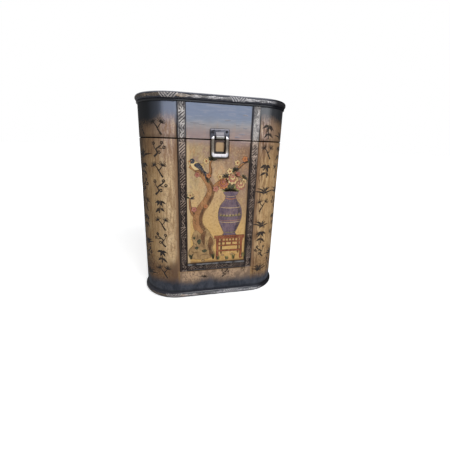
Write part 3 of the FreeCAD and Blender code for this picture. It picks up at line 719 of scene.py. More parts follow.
def carved_strip(name, node, body, finish, first_mitre=0, last_mitre=0, upright=True):
    """Carved strip in place of a plain one; a mitre is the side, 1 or -1, on which an end is cut back."""
    low, high = box_mm(node)
    middle = 0.5 * (low + high)
    start, end = (low.z, high.z) if upright else (low.x, high.x)
    edge = 0.5 * STRIP_WIDTH
    columns = [-edge + STRIP_WIDTH * i / STRIP_COLUMNS for i in range(STRIP_COLUMNS + 1)]
    rows = max(2, round((end - start) / STRIP_STEP))
    points = []
    for row in range(rows + 1):
        for across in columns:
            first = start + abs(first_mitre) * edge + first_mitre * across
            last = end - abs(last_mitre) * edge - last_mitre * across
            along = first + (last - first) * row / rows
            out = -WALL_FACE - strip_height(across, along)
            points.append((middle.x + across, out, along) if upright else (along, out, middle.z + across))
    width = len(columns)
    faces = []
    for row in range(rows):
        for a in range(row * width, (row + 1) * width - 1):
            faces.append((a, a + 1, a + 1 + width, a + width))
    border = list(range(width))
    border += [row * width + width - 1 for row in range(1, rows + 1)]
    border += [rows * width + column for column in range(width - 2, -1, -1)]
    border += [row * width for row in range(rows - 1, 0, -1)]
    back = len(points)
    points += [(points[i][0], -WALL_FACE, points[i][2]) for i in border]
    count = len(border)
    for i in range(count):
        j = (i + 1) % count
        faces.append((border[j], border[i], back + i, back + j))
    faces.append(tuple(back + i for i in range(count - 1, -1, -1)))
    if not upright:
        faces = [face[::-1] for face in faces]
    fit(new_piece(name, points, faces, [finish], sharp=70.0), body, "carved_strip", node)


# Rims

TOP_EDGE_RADIUS = 4.6
BASE_EDGE_RADIUS = 5.4
TIE_COUNT = 6
TIE_START = -74.5
TIE_HALF = 11.0
TIE_PITCH = 4.1
TIE_LEAN = 0.8
TIE_SHARE = 0.30
CARVING_HEIGHT = 0.4
TIE_GIRTH = 3.4
LEAF_COUNT = 2
LEAF_TALL = 2.3
LEAF_WAIST = 0.5
LEAF_SWELL = 0.6
TIE_STEP = 0.45
LEAF_STEP = 0.9
ARC_STEPS = 12


def tie_distance(along):
    """Distance along the rim to the middle of the nearest tie."""
    spacing = PERIMETER / TIE_COUNT
    return abs((along - TIE_START + 0.5 * spacing) % spacing - 0.5 * spacing)


def on_tie(along, girth):
    """Whether a place on a rim is on a tie, whose ends lean as its chevrons do."""
    return abs(girth) < TIE_GIRTH and tie_distance(along) - TIE_LEAN * girth < TIE_HALF


def carving(along, girth):
    """Height of the carving on a rim, from 0 to 1: chevrons on the ties, and leaves between them."""
    distance = tie_distance(along)
    if on_tie(along, girth):
        return ridge((distance - TIE_LEAN * girth) / TIE_PITCH % 1.0 - 0.5, TIE_SHARE)
    length = (0.5 * PERIMETER / TIE_COUNT - TIE_HALF) / LEAF_COUNT
    share = (distance - TIE_HALF) / length % 1.0
    swell = math.sin(math.pi * share ** LEAF_SWELL)
    return ridge(girth, LEAF_TALL * (LEAF_WAIST + (1 - LEAF_WAIST) * swell))


def rim_stations():
    """Places along the outline, close together on the ties and wide apart between them."""
    places = []
    along = 0.0
    while along < PERIMETER - 0.25 * TIE_STEP:
        places.append(along)
        near = tie_distance(along) < TIE_HALF + TIE_LEAN * TIE_GIRTH + LEAF_STEP
        along += TIE_STEP if near else LEAF_STEP
    return places


def rim_board(name, node, body, finish, radius):
    """Board with a carved round edge in place of the plain one; its points say what is carved and tied."""
    low, high = box_mm(node)
    inner = high.y - WALL_FACE - radius
    section = []
    for start, centre in ((-90, low.z + radius), (0, high.z - radius)):
        section += [(Vector((inner, centre)) + radius * out, out) for out in quarter(start, ARC_STEPS)]
    middle = 0.5 * (low.z + high.z)
    points = []
    marks = {"carved": [], "tied": []}
    stations = rim_stations()
    for along in stations:
        centred = along if along <= 0.5 * PERIMETER else along - PERIMETER
        for place, out in section:
            girth = place.y - middle
            share = carving(along, girth)
            spot = place + out * CARVING_HEIGHT * (share - 1) * max(0.0, out.x)
            points.append(wall_point(centred, spot.y, spot.x))
            marks["carved"].append(share)
            marks["tied"].append(float(on_tie(along, girth)))
    size = len(section)
    faces = ring_faces(len(stations), size, size - 1)
    faces.append(tuple(range(size - 1, len(points), size)))
    faces.append(tuple(range(len(points) - size, -1, -size)))
    piece = new_piece(name, points, faces, [finish], sharp=50.0)
    for label, values in marks.items():
        piece.data.attributes.new(label, "FLOAT", "POINT").data.foreach_set("value", values)
    fit(piece, body, "dark_rim", node)


# Latch bail

BAIL_TOP = 272.7
BAIL_WINDOW_TOP = 269.7
BAIL_WINDOW_HALF = 8.2
BAIL_LEDGE = 248.2
BAIL_BEND = 252.6
BAIL_FLARE = 2.8
BAIL_HALF_DEPTH = 1.55
BAIL_CORNER = 4.5
BAIL_WINDOW_CORNER = 2.6
BAIL_TOP_CORNER = 0.8
BAIL_EDGE = 1.0
BAIL_EDGE_SHARE = 0.9
BAIL_BEND_POWER = 1.35
EDGE_STEPS = 4
CORNER_STEPS = 10
SIDE_STEPS = 12


def round_loop(half, bottom, top, low_corner, top_corner):
    """Rounded rectangle, anticlockwise from the middle of its lowest side, with a fixed count of points."""
    corners = [
        (half - low_corner, bottom + low_corner, low_corner, -90),
        (half - top_corner, top - top_corner, top_corner, 0),
        (-half + top_corner, top - top_corner, top_corner, 90),
        (-half + low_corner, bottom + low_corner, low_corner, 180),
    ]
    loop = []
    previous = Vector((-half + low_corner, bottom))
    for x, z, corner, start in corners:
        arc = [Vector((x, z)) + corner * out for out in quarter(start, CORNER_STEPS)]
        loop += [previous.lerp(arc[0], i / SIDE_STEPS) for i in range(1, SIDE_STEPS)]
        loop += arc
        previous = arc[-1]
    return loop


def latch_bail(finish):
    """Flat ring with rounded edges whose foot bends forwards."""
    outer = round_loop(BAIL_HIGH.x, BAIL_LOW.z, BAIL_TOP, BAIL_CORNER, BAIL_CORNER)
    inner = round_loop(BAIL_WINDOW_HALF, BAIL_LEDGE, BAIL_WINDOW_TOP, BAIL_WINDOW_CORNER, BAIL_TOP_CORNER)
    section = []
    for across, deep, start in ((1, 1, 0), (-1, 1, 90), (-1, -1, 180), (1, -1, 270)):
        section += [(across, deep, turn) for turn in quarter(start, EDGE_STEPS)]
    points = []
    for out, into in zip(outer, inner):
        middle = 0.5 * (out + into)
        half = 0.5 * (out - into).length
        away = (out - into).normalized()
        edge = min(BAIL_EDGE, BAIL_EDGE_SHARE * half)
        for across, deep, turn in section:
            flat = middle + away * (across * (half - edge) + edge * turn.x)
            depth = deep * (BAIL_HALF_DEPTH - edge) + edge * turn.y
            bent = max(0.0, (BAIL_BEND - flat.y) / (BAIL_BEND - BAIL_LOW.z))
            flare = BAIL_FLARE * bent ** BAIL_BEND_POWER
            points.append((flat.x, depth - BAIL_AXIS_DEPTH - flare, flat.y))
    size = len(section)
    faces = [(a, d, c, b) for a, b, c, d in ring_faces(len(outer), size, size)]
    fit(new_piece("bail_ring", points, faces, [finish], sharp=60.0), "bail", "bail_metal", "latch_bail")


# Paint

# It lies this high above the wood, each layer adds this much, and its edges reach this far into the wood
PAINT_LIFT = 0.07
PAINT_LAYER = 0.03
PAINT_SINK = 0.04

# Strokes and their parts
FLAT_SHARE = 0.82
POINT_HALF = 0.06
BLADE_SWELL = 0.75
LINE_END = 0.35
LOBE_STEPS = 6
LEAF_STEPS = 8
SPRAY_LEAVES = 7
SPRAY_SPREAD = 25
LINE_WIDTH = 0.45
FINE_LINE = 0.4
BOLD_LINE = 0.9
SHADE_OFFSET = 0.55
SHADE_HALF = 0.18

# Tints
LINE, BARK, UMBER, PURPLE, PLUM, CREAM, BRICK, ORANGE, OLIVE, GREEN, NIGHT, STONE, ROSE = range(13)


def leaf_widths(count, breadth):
    """Half widths of a stroke that swells before its middle and comes to a point."""
    shares = [math.sin(math.pi * (i / (count - 1)) ** BLADE_SWELL) for i in range(count)]
    return [max(POINT_HALF, 0.5 * breadth * share) for share in shares]


def taper_widths(count, start, end):
    """Half widths of a stroke that narrows from start to end."""
    return [0.5 * (start + (end - start) * i / (count - 1)) for i in range(count)]


def sideways(path):
    """Unit vector to the left of a path at each of its points."""
    last = len(path) - 1
    aheads = [(path[min(i + 1, last)] - path[max(i - 1, 0)]).normalized() for i in range(len(path))]
    return [Vector((-ahead.y, ahead.x)) for ahead in aheads]


def frilled(centre, radius, lobes, depth, turn):
    """Outline of a flower with round lobes."""
    outline = []
    for step in range(LOBE_STEPS * lobes):
        angle = 360 * step / (LOBE_STEPS * lobes)
        reach = radius * (1 - depth + depth * abs(math.cos(math.radians(0.5 * lobes * angle))))
        outline.append(Vector(centre) + turned(angle + turn) * reach)
    return outline


class Painting:
    """Thin strokes and patches of paint on a surface, gathered into one mesh; layers lie over each other."""

    def __init__(self, surface):
        self.surface = surface
        self.points = []
        self.faces = []
        self.tints = []

    def add_face(self, corners, tint):
        self.faces.append(tuple(corners))
        self.tints.append(tint)

    def stroke(self, line, widths, tint, layer=0):
        """Ribbon along line, whose half widths are given for each of its points."""
        lift = PAINT_LIFT + layer * PAINT_LAYER
        profile = ((-1.0, -PAINT_SINK), (-FLAT_SHARE, lift), (FLAT_SHARE, lift), (1.0, -PAINT_SINK))
        first = len(self.points)
        for place, side, width in zip(line, sideways(line), widths):
            for share, height in profile:
                spot = place + side * width * share
                self.points.append(self.surface(spot.x, spot.y, height))
        end = len(self.points) - 4
        for a in range(first, end, 4):
            for k in range(4):
                m = (k + 1) % 4
                self.add_face((a + k, a + 4 + k, a + 4 + m, a + m), tint)
        self.add_face(range(first, first + 4), tint)
        self.add_face(range(end + 3, end - 1, -1), tint)

    def patch(self, outline, tint, layer=0):
        """Filled outline, drawn anticlockwise."""
        first = len(self.points)
        count = len(outline)
        for height in (-PAINT_SINK, PAINT_LIFT + layer * PAINT_LAYER):
            self.points += [self.surface(spot.x, spot.y, height) for spot in outline]
        for i in range(count):
            j = (i + 1) % count
            self.add_face((first + i, first + j, first + count + j, first + count + i), tint)
        self.add_face(range(first + count, first + 2 * count), tint)
        self.add_face(range(first + count - 1, first - 1, -1), tint)

    def piece(self, name, materials):
        """Mesh object that holds only the materials it uses."""
        used = sorted(set(self.tints))
        tints = [used.index(tint) for tint in self.tints]
        return new_piece(name, self.points, self.faces, [materials[tint] for tint in used], tints)

    def line(self, points, width, layer, tint=LINE):
        """Thin drawn line that narrows at both ends."""
        line = curve_through(points)
        last = len(line) - 1
        shares = [LINE_END + (1 - LINE_END) * math.sin(math.pi * i / last) for i in range(last + 1)]
        self.stroke(line, [0.5 * width * share for share in shares], tint, layer)

    def blade(self, points, breadth, tint, layer, per_span=5):
        """Pointed stroke that swells before its middle."""
        line = curve_through(points, per_span)
        self.stroke(line, leaf_widths(len(line), breadth), tint, layer)

    def edged(self, line, layer):
        """Even dark line."""
        self.stroke(line, [0.5 * LINE_WIDTH] * len(line), LINE, layer)

    def outlined(self, outline, tint, layer):
        """Patch with a thin dark line round it."""
        self.patch(outline, tint, layer)
        self.edged(outline + outline[:1], layer + 1)

    def blob(self, points, tint, layer):
        """Outlined patch with a smooth edge through points, anticlockwise."""
        self.outlined(curve_through(points, closed=True), tint, layer)

    def bar(self, low, high, tint, layer):
        """Outlined rectangle."""
        corners = [(low[0], low[1]), (high[0], low[1]), (high[0], high[1]), (low[0], high[1])]
        self.outlined([Vector(c) for c in corners], tint, layer)

    def limb(self, points, layer):
        """Branch through points of x, z and width, shaded on its right, with a dark line down each side."""
        line = curve_through(points, 6)
        path = [Vector((p.x, p.y)) for p in line]
        beside = [side * 0.5 * p.z for side, p in zip(sideways(path), line)]
        self.stroke(path, [0.5 * p.z for p in line], BARK, layer)
        shade = [place - SHADE_OFFSET * off for place, off in zip(path, beside)]
        self.stroke(shade, [SHADE_HALF * p.z for p in line], UMBER, layer + 1)
        for side in (-1, 1):
            self.edged([place + side * off for place, off in zip(path, beside)], layer + 2)
        return line

    def blossom(self, draw, x, z, radius, tint, layer):
        """Five-petalled flower with a dark heart and stamens."""
        turn = draw.uniform(0, 72)
        self.outlined(frilled((x, z), radius, 5, 0.32, turn), tint, layer)
        self.patch(frilled((x, z), 0.3 * radius, 5, 0.1, turn), BRICK, layer + 2)
        for petal in range(5):
            ahead = turned(turn + 72 * petal) * radius
            self.line([Vector((x, z)) + ahead * share for share in (0.3, 0.65)], FINE_LINE, layer + 2)

    def peony(self, draw, x, z, radius, outer, inner):
        """Full flower of nested frills."""
        for ring, (share, lobes) in enumerate(((1.0, 9), (0.74, 8), (0.5, 6), (0.26, 5))):
            place = (x + draw.uniform(-0.5, 0.5), z + 0.12 * radius * ring)
            frill = frilled(place, share * radius, lobes, 0.2, draw.uniform(0, 40))
            self.outlined(frill, inner if ring % 2 else outer, 6 + 2 * ring)

    def leaf(self, root, angle, length, breadth, tint, layer):
        """Pointed leaf with a midrib."""
        root = Vector(root)
        tip = root + turned(angle) * length
        line = [root.lerp(tip, step / LEAF_STEPS) for step in range(LEAF_STEPS + 1)]
        self.stroke(line, leaf_widths(len(line), breadth), tint, layer)
        self.line([root.lerp(tip, share) for share in (0, 0.45, 0.9)], FINE_LINE, layer + 1)

    def leaf_spray(self, draw, x, z, lean):
        """Dark spray of narrow leaves."""
        for step in range(SPRAY_LEAVES):
            angle = lean + SPRAY_SPREAD * (step - SPRAY_LEAVES // 2) + draw.uniform(-8, 8)
            self.leaf((x, z), angle, draw.uniform(6.5, 9.5), 3.0, draw.choice((GREEN, GREEN, NIGHT)), 4)


# Ink sprigs on the round ends and under the frame

SPRIG_SCALE = 1.25
BRUSH_WEIGHT = 1.4
SPRIG_PITCH = 28.8
COLUMN_PITCH = 33.0
LEFT_COLUMN = -93.0
RIGHT_COLUMN = 80.0
COLUMN_COUNT = 5
SPRIG_LOW = 49.0
SPRIG_COUNT = 8
SPRIG_STRAY = 1.5
SPRIG_SIZES = (0.9, 1.02)
BRUSH_SWAY = (0.85, 1.1)
TAPER_END = 0.45
LID_SPRIG_RISE = 15.5
LID_SPRIG_SIZE = 0.95


def bamboo_sprig(draw):
    """Leaning stem with long leaves that hang from two joints."""
    lean = draw.uniform(-3, 3)
    strokes = [("taper", [(lean, -10), (lean * 0.4, -2), (-lean * 0.5, 9)], 1.5)]
    for knot, spread in ((7, (-155, -120, -62, -25)), (-3, (-150, -40))):
        for angle in spread:
            tip = turned(angle + draw.uniform(-10, 10)) * draw.uniform(7.5, 11.5)
            root = Vector((draw.uniform(-0.6, 0.6), knot))
            bend = root + tip * 0.5 + Vector((0, 0.8))
            strokes.append(("leaf", [root, bend, root + tip], draw.uniform(2.3, 3.2)))
    return strokes


def grass_sprig(draw):
    """Tuft of long blades that rise and droop."""
    strokes = []
    root = Vector((0, -9))
    for angle in (150, 122, 100, 78, 55, 30):
        rise = turned(angle + draw.uniform(-8, 8)) * draw.uniform(9, 13)
        droop = Vector((rise.x * 1.45, rise.y * 0.75))
        strokes.append(("leaf", [root, root + rise * 0.6, root + droop * 1.2], 1.9))
    for x, y in ((-3, -8.5), (3.4, -9.2)):
        strokes.append(("leaf", [(x, y), (x + 1.6, y - 0.4), (x + 3.4, y)], 1.7))
    return strokes


def blossom_sprig(draw):
    """Crooked twig with small five-petalled flowers."""
    strokes = [
        ("taper", [(-7, -9), (-2, -4), (-3, 1), (4, 6), (6, 10)], 2.1),
        ("taper", [(-2.6, -1), (-6, 3), (-7, 8)], 1.1),
        ("taper", [(0, 3), (5, 1.5), (8, 3)], 1.0),
    ]
    for x, y in ((-7, 8), (8, 3.4), (1, -3), (5, 9)):
        turn = draw.uniform(0, 72)
        for petal in range(5):
            root, tip = (Vector((x, y)) + turned(turn + 72 * petal) * reach for reach in (0.7, 2.7))
            strokes.append(("leaf", [root, root.lerp(tip, 0.5), tip], 1.7))
    return strokes


def pine_sprig(draw):
    """Twig with two fans of needles."""
    strokes = [
        ("taper", [(6, -10), (2, -4), (-1, 1), (-5, 5)], 1.9),
        ("taper", [(1, -2), (5, 3), (6, 5)], 1.2),
    ]
    for x, y, lean in ((-5, 4, 120), (6, 4, 70)):
        for step in range(9):
            tip = turned(lean - 80 + 20 * step + draw.uniform(-5, 5)) * draw.uniform(5.2, 7.0)
            root = Vector((x, y))
            strokes.append(("taper", [root, root + tip * 0.5, root + tip], 0.8))
    return strokes


SPRIGS = (bamboo_sprig, grass_sprig, blossom_sprig, pine_sprig)
FOOT_SPRIGS = (
    (blossom_sprig, 16.0, 41.5, 0.62), (grass_sprig, -21.0, 41.0, 0.45), (pine_sprig, 50.0, 46.0, 0.34),
)


def paint_sprig(painting, draw, sprig, along, z, size):
    """One sprig on the wall; size is a share of its drawn size."""
    scale = size * SPRIG_SCALE
    mirror = draw.choice((-1, 1))
    for kind, points, breadth in sprig(draw):
        line = curve_through([(along + mirror * p[0] * scale, z + p[1] * scale) for p in points])
        breadth *= scale * BRUSH_WEIGHT
        if kind == "leaf":
            widths = leaf_widths(len(line), breadth)
        else:
            widths = taper_widths(len(line), breadth, TAPER_END * breadth)
        painting.stroke(line, [w * draw.uniform(*BRUSH_SWAY) for w in widths], 0)


def ink_columns(ink):
    """Columns of sprigs down both ends, parted where the lid meets the body."""
    draw = random.Random(INK_SEED)
    for name, start, step in (("left", LEFT_COLUMN, -COLUMN_PITCH), ("right", RIGHT_COLUMN, COLUMN_PITCH)):
        on_body = Painting(wall_point)
        on_lid = Painting(wall_point)
        for column in range(COLUMN_COUNT):
            along = start + step * column
            previous = None
            for place in range(SPRIG_COUNT):
                sprig = draw.choice([s for s in SPRIGS if s is not previous])
                previous = sprig
                z = SPRIG_LOW + SPRIG_PITCH * place + draw.uniform(-SPRIG_STRAY, SPRIG_STRAY)
                aside = along + draw.uniform(-SPRIG_STRAY, SPRIG_STRAY)
                paint_sprig(on_body, draw, sprig, aside, z, draw.uniform(*SPRIG_SIZES))
            sprig = draw.choice([s for s in SPRIGS if s is not previous])
            paint_sprig(on_lid, draw, sprig, along, LID_FOOT + LID_SPRIG_RISE, LID_SPRIG_SIZE)
        fit(on_body.piece(f"ink_sprigs_{name}", [ink]), "body", "aged_lacquer")
        fit(on_lid.piece(f"ink_sprigs_{name}_lid", [ink]), "lid", "aged_lacquer")


def foot_sprigs(ink):
    """Small sprigs on the front, under the frame."""
    painting = Painting(wall_point)
    draw = random.Random(INK_SEED + 1)
    for sprig, x, z, size in FOOT_SPRIGS:
        paint_sprig(painting, draw, sprig, x, z, size)
    fit(painting.piece("ink_sprigs_foot", [ink]), "body", "aged_lacquer")


# Picture of a garden: a blossoming tree by a rock, and a vase of flowers on a stand

# Light and dark of each paint, in the order of the tints above
PAINTS = {
    "line": ((74, 54, 40), (44, 32, 26)), "bark": ((170, 120, 78), (130, 88, 54)),
    "umber": ((116, 80, 52), (82, 56, 38)), "purple": ((114, 95, 106), (86, 71, 86)),
    "plum": ((86, 70, 80), (62, 51, 60)), "cream": ((216, 188, 138), (188, 154, 104)),
    "brick": ((152, 86, 58), (116, 62, 44)), "orange": ((194, 128, 82), (162, 98, 60)),
    "olive": ((146, 138, 84), (106, 102, 60)), "green": ((70, 74, 54), (42, 48, 38)),
    "night": ((58, 62, 74), (34, 38, 48)), "stone": ((174, 142, 98), (128, 99, 68)),
    "rose": ((186, 122, 104), (152, 90, 78)),
}
HOLLOWS = ((-31, 104, 3.4, 4.8), (-35, 93, 3.2, 2.8), (-22, 87, 4.4, 3.0), (-39, 111, 1.8, 2.6))


def painted_rock(art):
    """Upright garden rock with hollows."""
    art.blob([
        (-47, 77), (-32, 72), (-14, 73), (-4, 80), (-8, 92), (-4, 102), (-10, 115),
        (-19, 127), (-27, 118), (-36, 125), (-43, 112), (-40, 100), (-48, 90),
    ], STONE, 6)
    for points in (
        [(-12, 75), (-6, 81), (-10, 92), (-6, 102), (-12, 113), (-16, 100), (-14, 88)],
        [(-28, 116), (-26, 104), (-22, 98), (-21, 112), (-20, 123)],
    ):
        art.patch(curve_through(points, closed=True), UMBER, 7)
    for x, z, wide, tall in HOLLOWS:
        hollow = [(x + wide, z), (x + 0.4 * wide, z + tall), (x - wide, z + 0.3 * tall), (x, z - tall)]
        art.blob(hollow, GREEN, 8)
    for points in (
        [(-44, 88), (-39, 85), (-30, 86)], [(-33, 119), (-34, 112), (-37, 106)],
        [(-15, 108), (-18, 101), (-16, 95)], [(-30, 79), (-22, 81), (-14, 80)],
        [(-42, 103), (-37, 100), (-35, 98)],
    ):
        art.line(points, BOLD_LINE, 9)


TRUNK = (
    (-24, 118, 19), (-33, 136, 16.5), (-30, 156, 15), (-18, 174, 14),
    (-12, 191, 12), (-20, 208, 9.5), (-32, 220, 7), (-46, 228, 4.5),
)
BRANCHES = (
    ((-14, 185, 10), (0, 201, 8.5), (13, 211, 6.5), (27, 221, 5), (37, 231, 3.6), (46, 236, 2.2)),
    ((-32, 146, 8), (-41, 153, 5.5), (-45, 165, 3.8), (-46, 178, 2.2)),
    ((-19, 206, 6.5), (-13, 219, 4.6), (-14, 231, 3.2), (-11, 238, 2)),
    ((13, 211, 5), (23, 210, 3.8), (33, 213, 2.8), (42, 209, 1.8)),
)
FLOWERS = (
    (-43, 233), (-34, 215), (-27, 228), (-16, 214), (-20, 236), (-4, 193), (2, 212), (12, 204),
    (18, 221), (31, 216), (30, 234), (42, 240), (42, 205), (-39, 160), (-45, 183), (-20, 165),
)
SPRAYS = (
    (-46, 178, 75), (-11, 237, 90), (45, 235, 100), (41, 209, 30),
    (27, 221, 110), (13, 211, 95), (-20, 208, 20),
)


def painted_tree(art):
    """Old tree that leans to the right, with leaves and flowers on its branches."""
    draw = random.Random(PICTURE_SEED)
    for branch in BRANCHES:
        art.limb(branch, 0)
    line = art.limb(TRUNK, 2)
    for place in line[3:-6:2]:
        side = draw.choice((-1, 1))
        start = Vector((place.x + side * 0.15 * place.z, place.y + draw.uniform(-2, 2)))
        bend = start + Vector((side * 0.16 * place.z, 2.6))
        art.line([start, bend, bend + Vector((-side * 0.08 * place.z, 3.0))], BOLD_LINE, 4)
    for x, z, lean in SPRAYS:
        art.leaf_spray(draw, x, z, lean)
    for number, (x, z) in enumerate(FLOWERS):
        art.blossom(draw, x, z, draw.uniform(3.9, 5.2), (CREAM, ROSE, CREAM, ORANGE)[number % 4], 6)


def painted_stand(art):
    """Low stand with fretted sides."""
    for x in (6, 36):
        art.bar((x, 80), (x + 2.8, 108), UMBER, 0)
    art.bar((0, 84), (44, 87.4), BRICK, 2)
    for z in (94, 101):
        art.bar((1, z), (43, z + 2.4), BRICK, 2)
    for number, x in enumerate((8, 13.5, 19, 24.5, 30, 35.5)):
        art.bar((x, 94 if number % 2 else 101), (x + 2.2, 109), BRICK, 4)
    for x in (-1.5, 40.5):
        leg = [(x, 71), (x + 5.6, 71), (x + 4.6, 78), (x + 4.0, 98), (x + 5.0, 108), (x, 108), (x + 0.4, 88)]
        art.blob(leg, BRICK, 6)
    art.bar((-5, 107.5), (48, 113.5), BRICK, 8)
    art.line([(-3, 110.5), (20, 110.8), (46, 110.5)], BOLD_LINE, 10)


VASE_MIDDLE = 21.0
VASE_NECK = 187.0
VASE_PROFILE = (
    (11.0, 114), (10.0, 118), (14.0, 127), (19.2, 140), (20.4, 152),
    (17.4, 165), (10.8, 174), (8.6, 181), (11.6, 188),
)
VASE_SHADE = ((28, 117), (36, 130), (40, 146), (38, 160), (31, 171), (34, 155), (34, 140), (30, 127))
VASE_SAG = 1.8
VASE_LEAVES = ((152, 23), (130, 17), (106, 24), (74, 21), (48, 24), (26, 21), (168, 16), (10, 15))
VASE_LINES = (
    (10.4, 120, 1.2, OLIVE), (18.4, 138, 1.0, CREAM), (18.9, 141, 0.6, ORANGE), (18.2, 163, 1.0, CREAM),
    (9.4, 178, 1.4, ORANGE), (8.8, 182, 0.8, CREAM),
)


def painted_vase(art):
    """Round vase with fine bands that sag towards the viewer, and flowers and leaves in its neck."""
    draw = random.Random(PICTURE_SEED + 1)
    for angle, length in VASE_LEAVES:
        art.leaf((VASE_MIDDLE, VASE_NECK), angle, length, 6.5, draw.choice((OLIVE, GREEN, GREEN)), 0)
    art.peony(draw, 8, 201, 9.0, ORANGE, ROSE)
    art.peony(draw, 23, 209, 9.5, CREAM, ROSE)
    art.peony(draw, 37, 199, 8.5, ROSE, CREAM)
    right = [(VASE_MIDDLE + reach, z) for reach, z in VASE_PROFILE]
    left = [(VASE_MIDDLE - reach, z) for reach, z in reversed(VASE_PROFILE)]
    art.blob(right + left, PURPLE, 4)
    art.patch(curve_through(VASE_SHADE, closed=True), PLUM, 5)
    for reach, z, width, tint in VASE_LINES:
        shares = [step / 4 for step in range(-4, 5)]
        art.line([(VASE_MIDDLE + reach * s, z - VASE_SAG * (1 - s ** 2)) for s in shares], width, 6, tint)
    for step in range(-3, 4):
        root = (VASE_MIDDLE + 5.2 * step, 152 - VASE_SAG * (1 - (step / 3.6) ** 2) - 4)
        for angle in (35, 145, 90):
            art.leaf(root, angle, 5.5, 1.8, CREAM if angle == 90 else OLIVE, 7)


def painted_bird(art):
    """Long-tailed bird on the left branch."""
    for x, z, breadth in ((-19, 212, 4.4), (-16, 216, 3.8)):
        art.blade([(-31, 228), (-25, 221), (x, z)], breadth, NIGHT, 10)
    breast = [(-42, 226), (-37, 222), (-30, 224), (-28, 229), (-33, 234), (-39, 235.5), (-44, 232)]
    art.blob(breast, CREAM, 11)
    art.blob([(-39, 229.5), (-31, 223.5), (-24, 220), (-27, 228.5), (-33, 233)], NIGHT, 13)
    art.patch(frilled((-41.5, 235.5), 3.8, 7, 0.03, 0), NIGHT, 13)
    art.patch([Vector(p) for p in ((-44.6, 234.2), (-44.2, 236.6), (-48.6, 234.4))], ORANGE, 14)
    art.patch(frilled((-42.4, 236.2), 0.6, 5, 0.05, 0), CREAM, 15)
    for x in (-37, -35):
        art.line([(x, 223), (x + 0.4, 221), (x + 0.2, 219)], BOLD_LINE, 10)


def painted_grass(art):
    """Tufts, pebbles and fallen petals on the ground."""
    draw = random.Random(PICTURE_SEED + 2)
    limit = PANEL_HIGH.x - 0.8
    for x, z, height in ((-45, 73, 14), (-6, 71, 14), (3, 69, 10), (30, 68, 12), (47, 71, 14), (18, 68, 8)):
        for blade in range(7):
            lean = draw.uniform(-0.55, 0.55)
            tall = height * draw.uniform(0.6, 1.0)
            root = Vector((x + draw.uniform(-1.8, 1.8), z))
            bend = root + Vector((lean * 0.4 * tall, 0.6 * tall))
            tip = root + Vector((lean * tall, 0.95 * tall))
            tip.x = min(max(tip.x, -limit), limit)
            art.blade([root, bend, tip], 1.9, draw.choice((GREEN, OLIVE, GREEN)), 11 + blade % 2)
    for x, z, wide in ((10, 77, 3.0), (27, 78, 3.4), (-24, 69, 3.2)):
        art.blob([(x + wide, z), (x, z + 0.7 * wide), (x - wide, z + 0.1), (x, z - 0.5 * wide)], STONE, 4)
    for _ in range(12):
        root = Vector((draw.uniform(-6, 45), draw.uniform(67, 84)))
        tip = turned(draw.uniform(0, 360)) * 2.4
        tint = draw.choice((CREAM, ROSE, ORANGE))
        art.blade([root, root + 0.5 * tip, root + tip], 1.6, tint, 9, per_span=4)


def garden_picture():
    """All of the picture, one piece for each thing in it."""
    paints = [brushed_paint(f"{name}_paint", *shades) for name, shades in PAINTS.items()]
    for paint in (painted_rock, painted_tree, painted_stand, painted_vase, painted_bird, painted_grass):
        art = Painting(panel_point)
        paint(art)
        fit(art.piece(paint.__name__, paints), "body", "picture_paint")


# Creases in the lacquer of the lid's panel

CREASES = (
    (39, 304, 9), (28, 290, 8), (40, 286, 7), (35, 277, 11),
    (27, 272.5, 8), (-38, 291, 13), (-27, 289, 9), (12, 296, 10),
)
CREASE_WIDTH = 0.9
CREASE_GAP = 0.9
CREASE_LAYER = 6


def lacquer_creases():
    """Short level ridges where the lacquer has wrinkled, drawn as a pale painted highlight above and a dark
    painted shade below.
    """
    art = Painting(panel_point)
    draw = random.Random(PICTURE_SEED + 3)
    for x, z, length in CREASES:
        bends = [draw.uniform(-0.5, 0.5) for _ in range(3)]
        for tint in (0, 1):
            level = z - CREASE_GAP * tint
            points = [(x + 0.5 * length * step, level + bend) for step, bend in zip((-1, 0, 1), bends)]
            art.line(points, CREASE_WIDTH, CREASE_LAYER, tint)
    # Painted highlight and painted shade of the creases
    pale = brushed_paint("crease_highlight", (164, 159, 164), (148, 146, 154), worn=(142, 140, 148))
    dark = brushed_paint("crease_shade", (126, 123, 131), (112, 112, 122), worn=(136, 132, 140))
    fit(art.piece("lacquer_creases", [pale, dark]), "lid", "picture_paint")


# Stage, light and camera; lengths here are in metres, apart from the camera's place

WINDOW_RADIANCE = 2.5
WINDOW_SIZE = (2.4, 2.2)
WINDOW_AZIMUTH = 26.0
WINDOW_DISTANCE = 2.0
WINDOW_FOOT = 0.42
WINDOW_COLOUR = (0.90, 0.96, 1.0)
KEY_RADIANCE = 8.0
KEY_SIZE = (0.7, 0.7)
KEY_PLACE = (0.3, -1.35, 1.35)
KEY_COLOUR = (1.0, 0.97, 0.93)
BACK_RADIANCE = 1.8
BACK_SIZE = (2.0, 2.0)
BACK_PLACE = (0.0, 2.3, 1.5)
MIDDLE = (0.0, 0.0, 0.16)
WHITE = (1.0, 1.0, 1.0)
AMBIENT = (0.06, 0.062, 0.066, 1.0)
FLOOR_SIDE = 30.0
FLOOR_COLOUR = (0.86, 0.86, 0.86, 1.0)
FLOOR_ROUGHNESS = 0.9
FLOOR_GLOW = 0.62
FLOOR_WHITE_FROM = 0.35
FLOOR_WHITE_FULL = 1.1

# Camera, fitted to the photograph's frame
CAMERA_PLACE = (-84.7, -456.2, 260.7)
CAMERA_YAW = -13.77
CAMERA_PITCH = 17.434
CAMERA_ROLL = 1.918
CAMERA_NEAR = 0.01
FOCAL_PIXELS = 255.4
FRAME_PIXELS = 450
SENSOR_WIDTH = 36.0


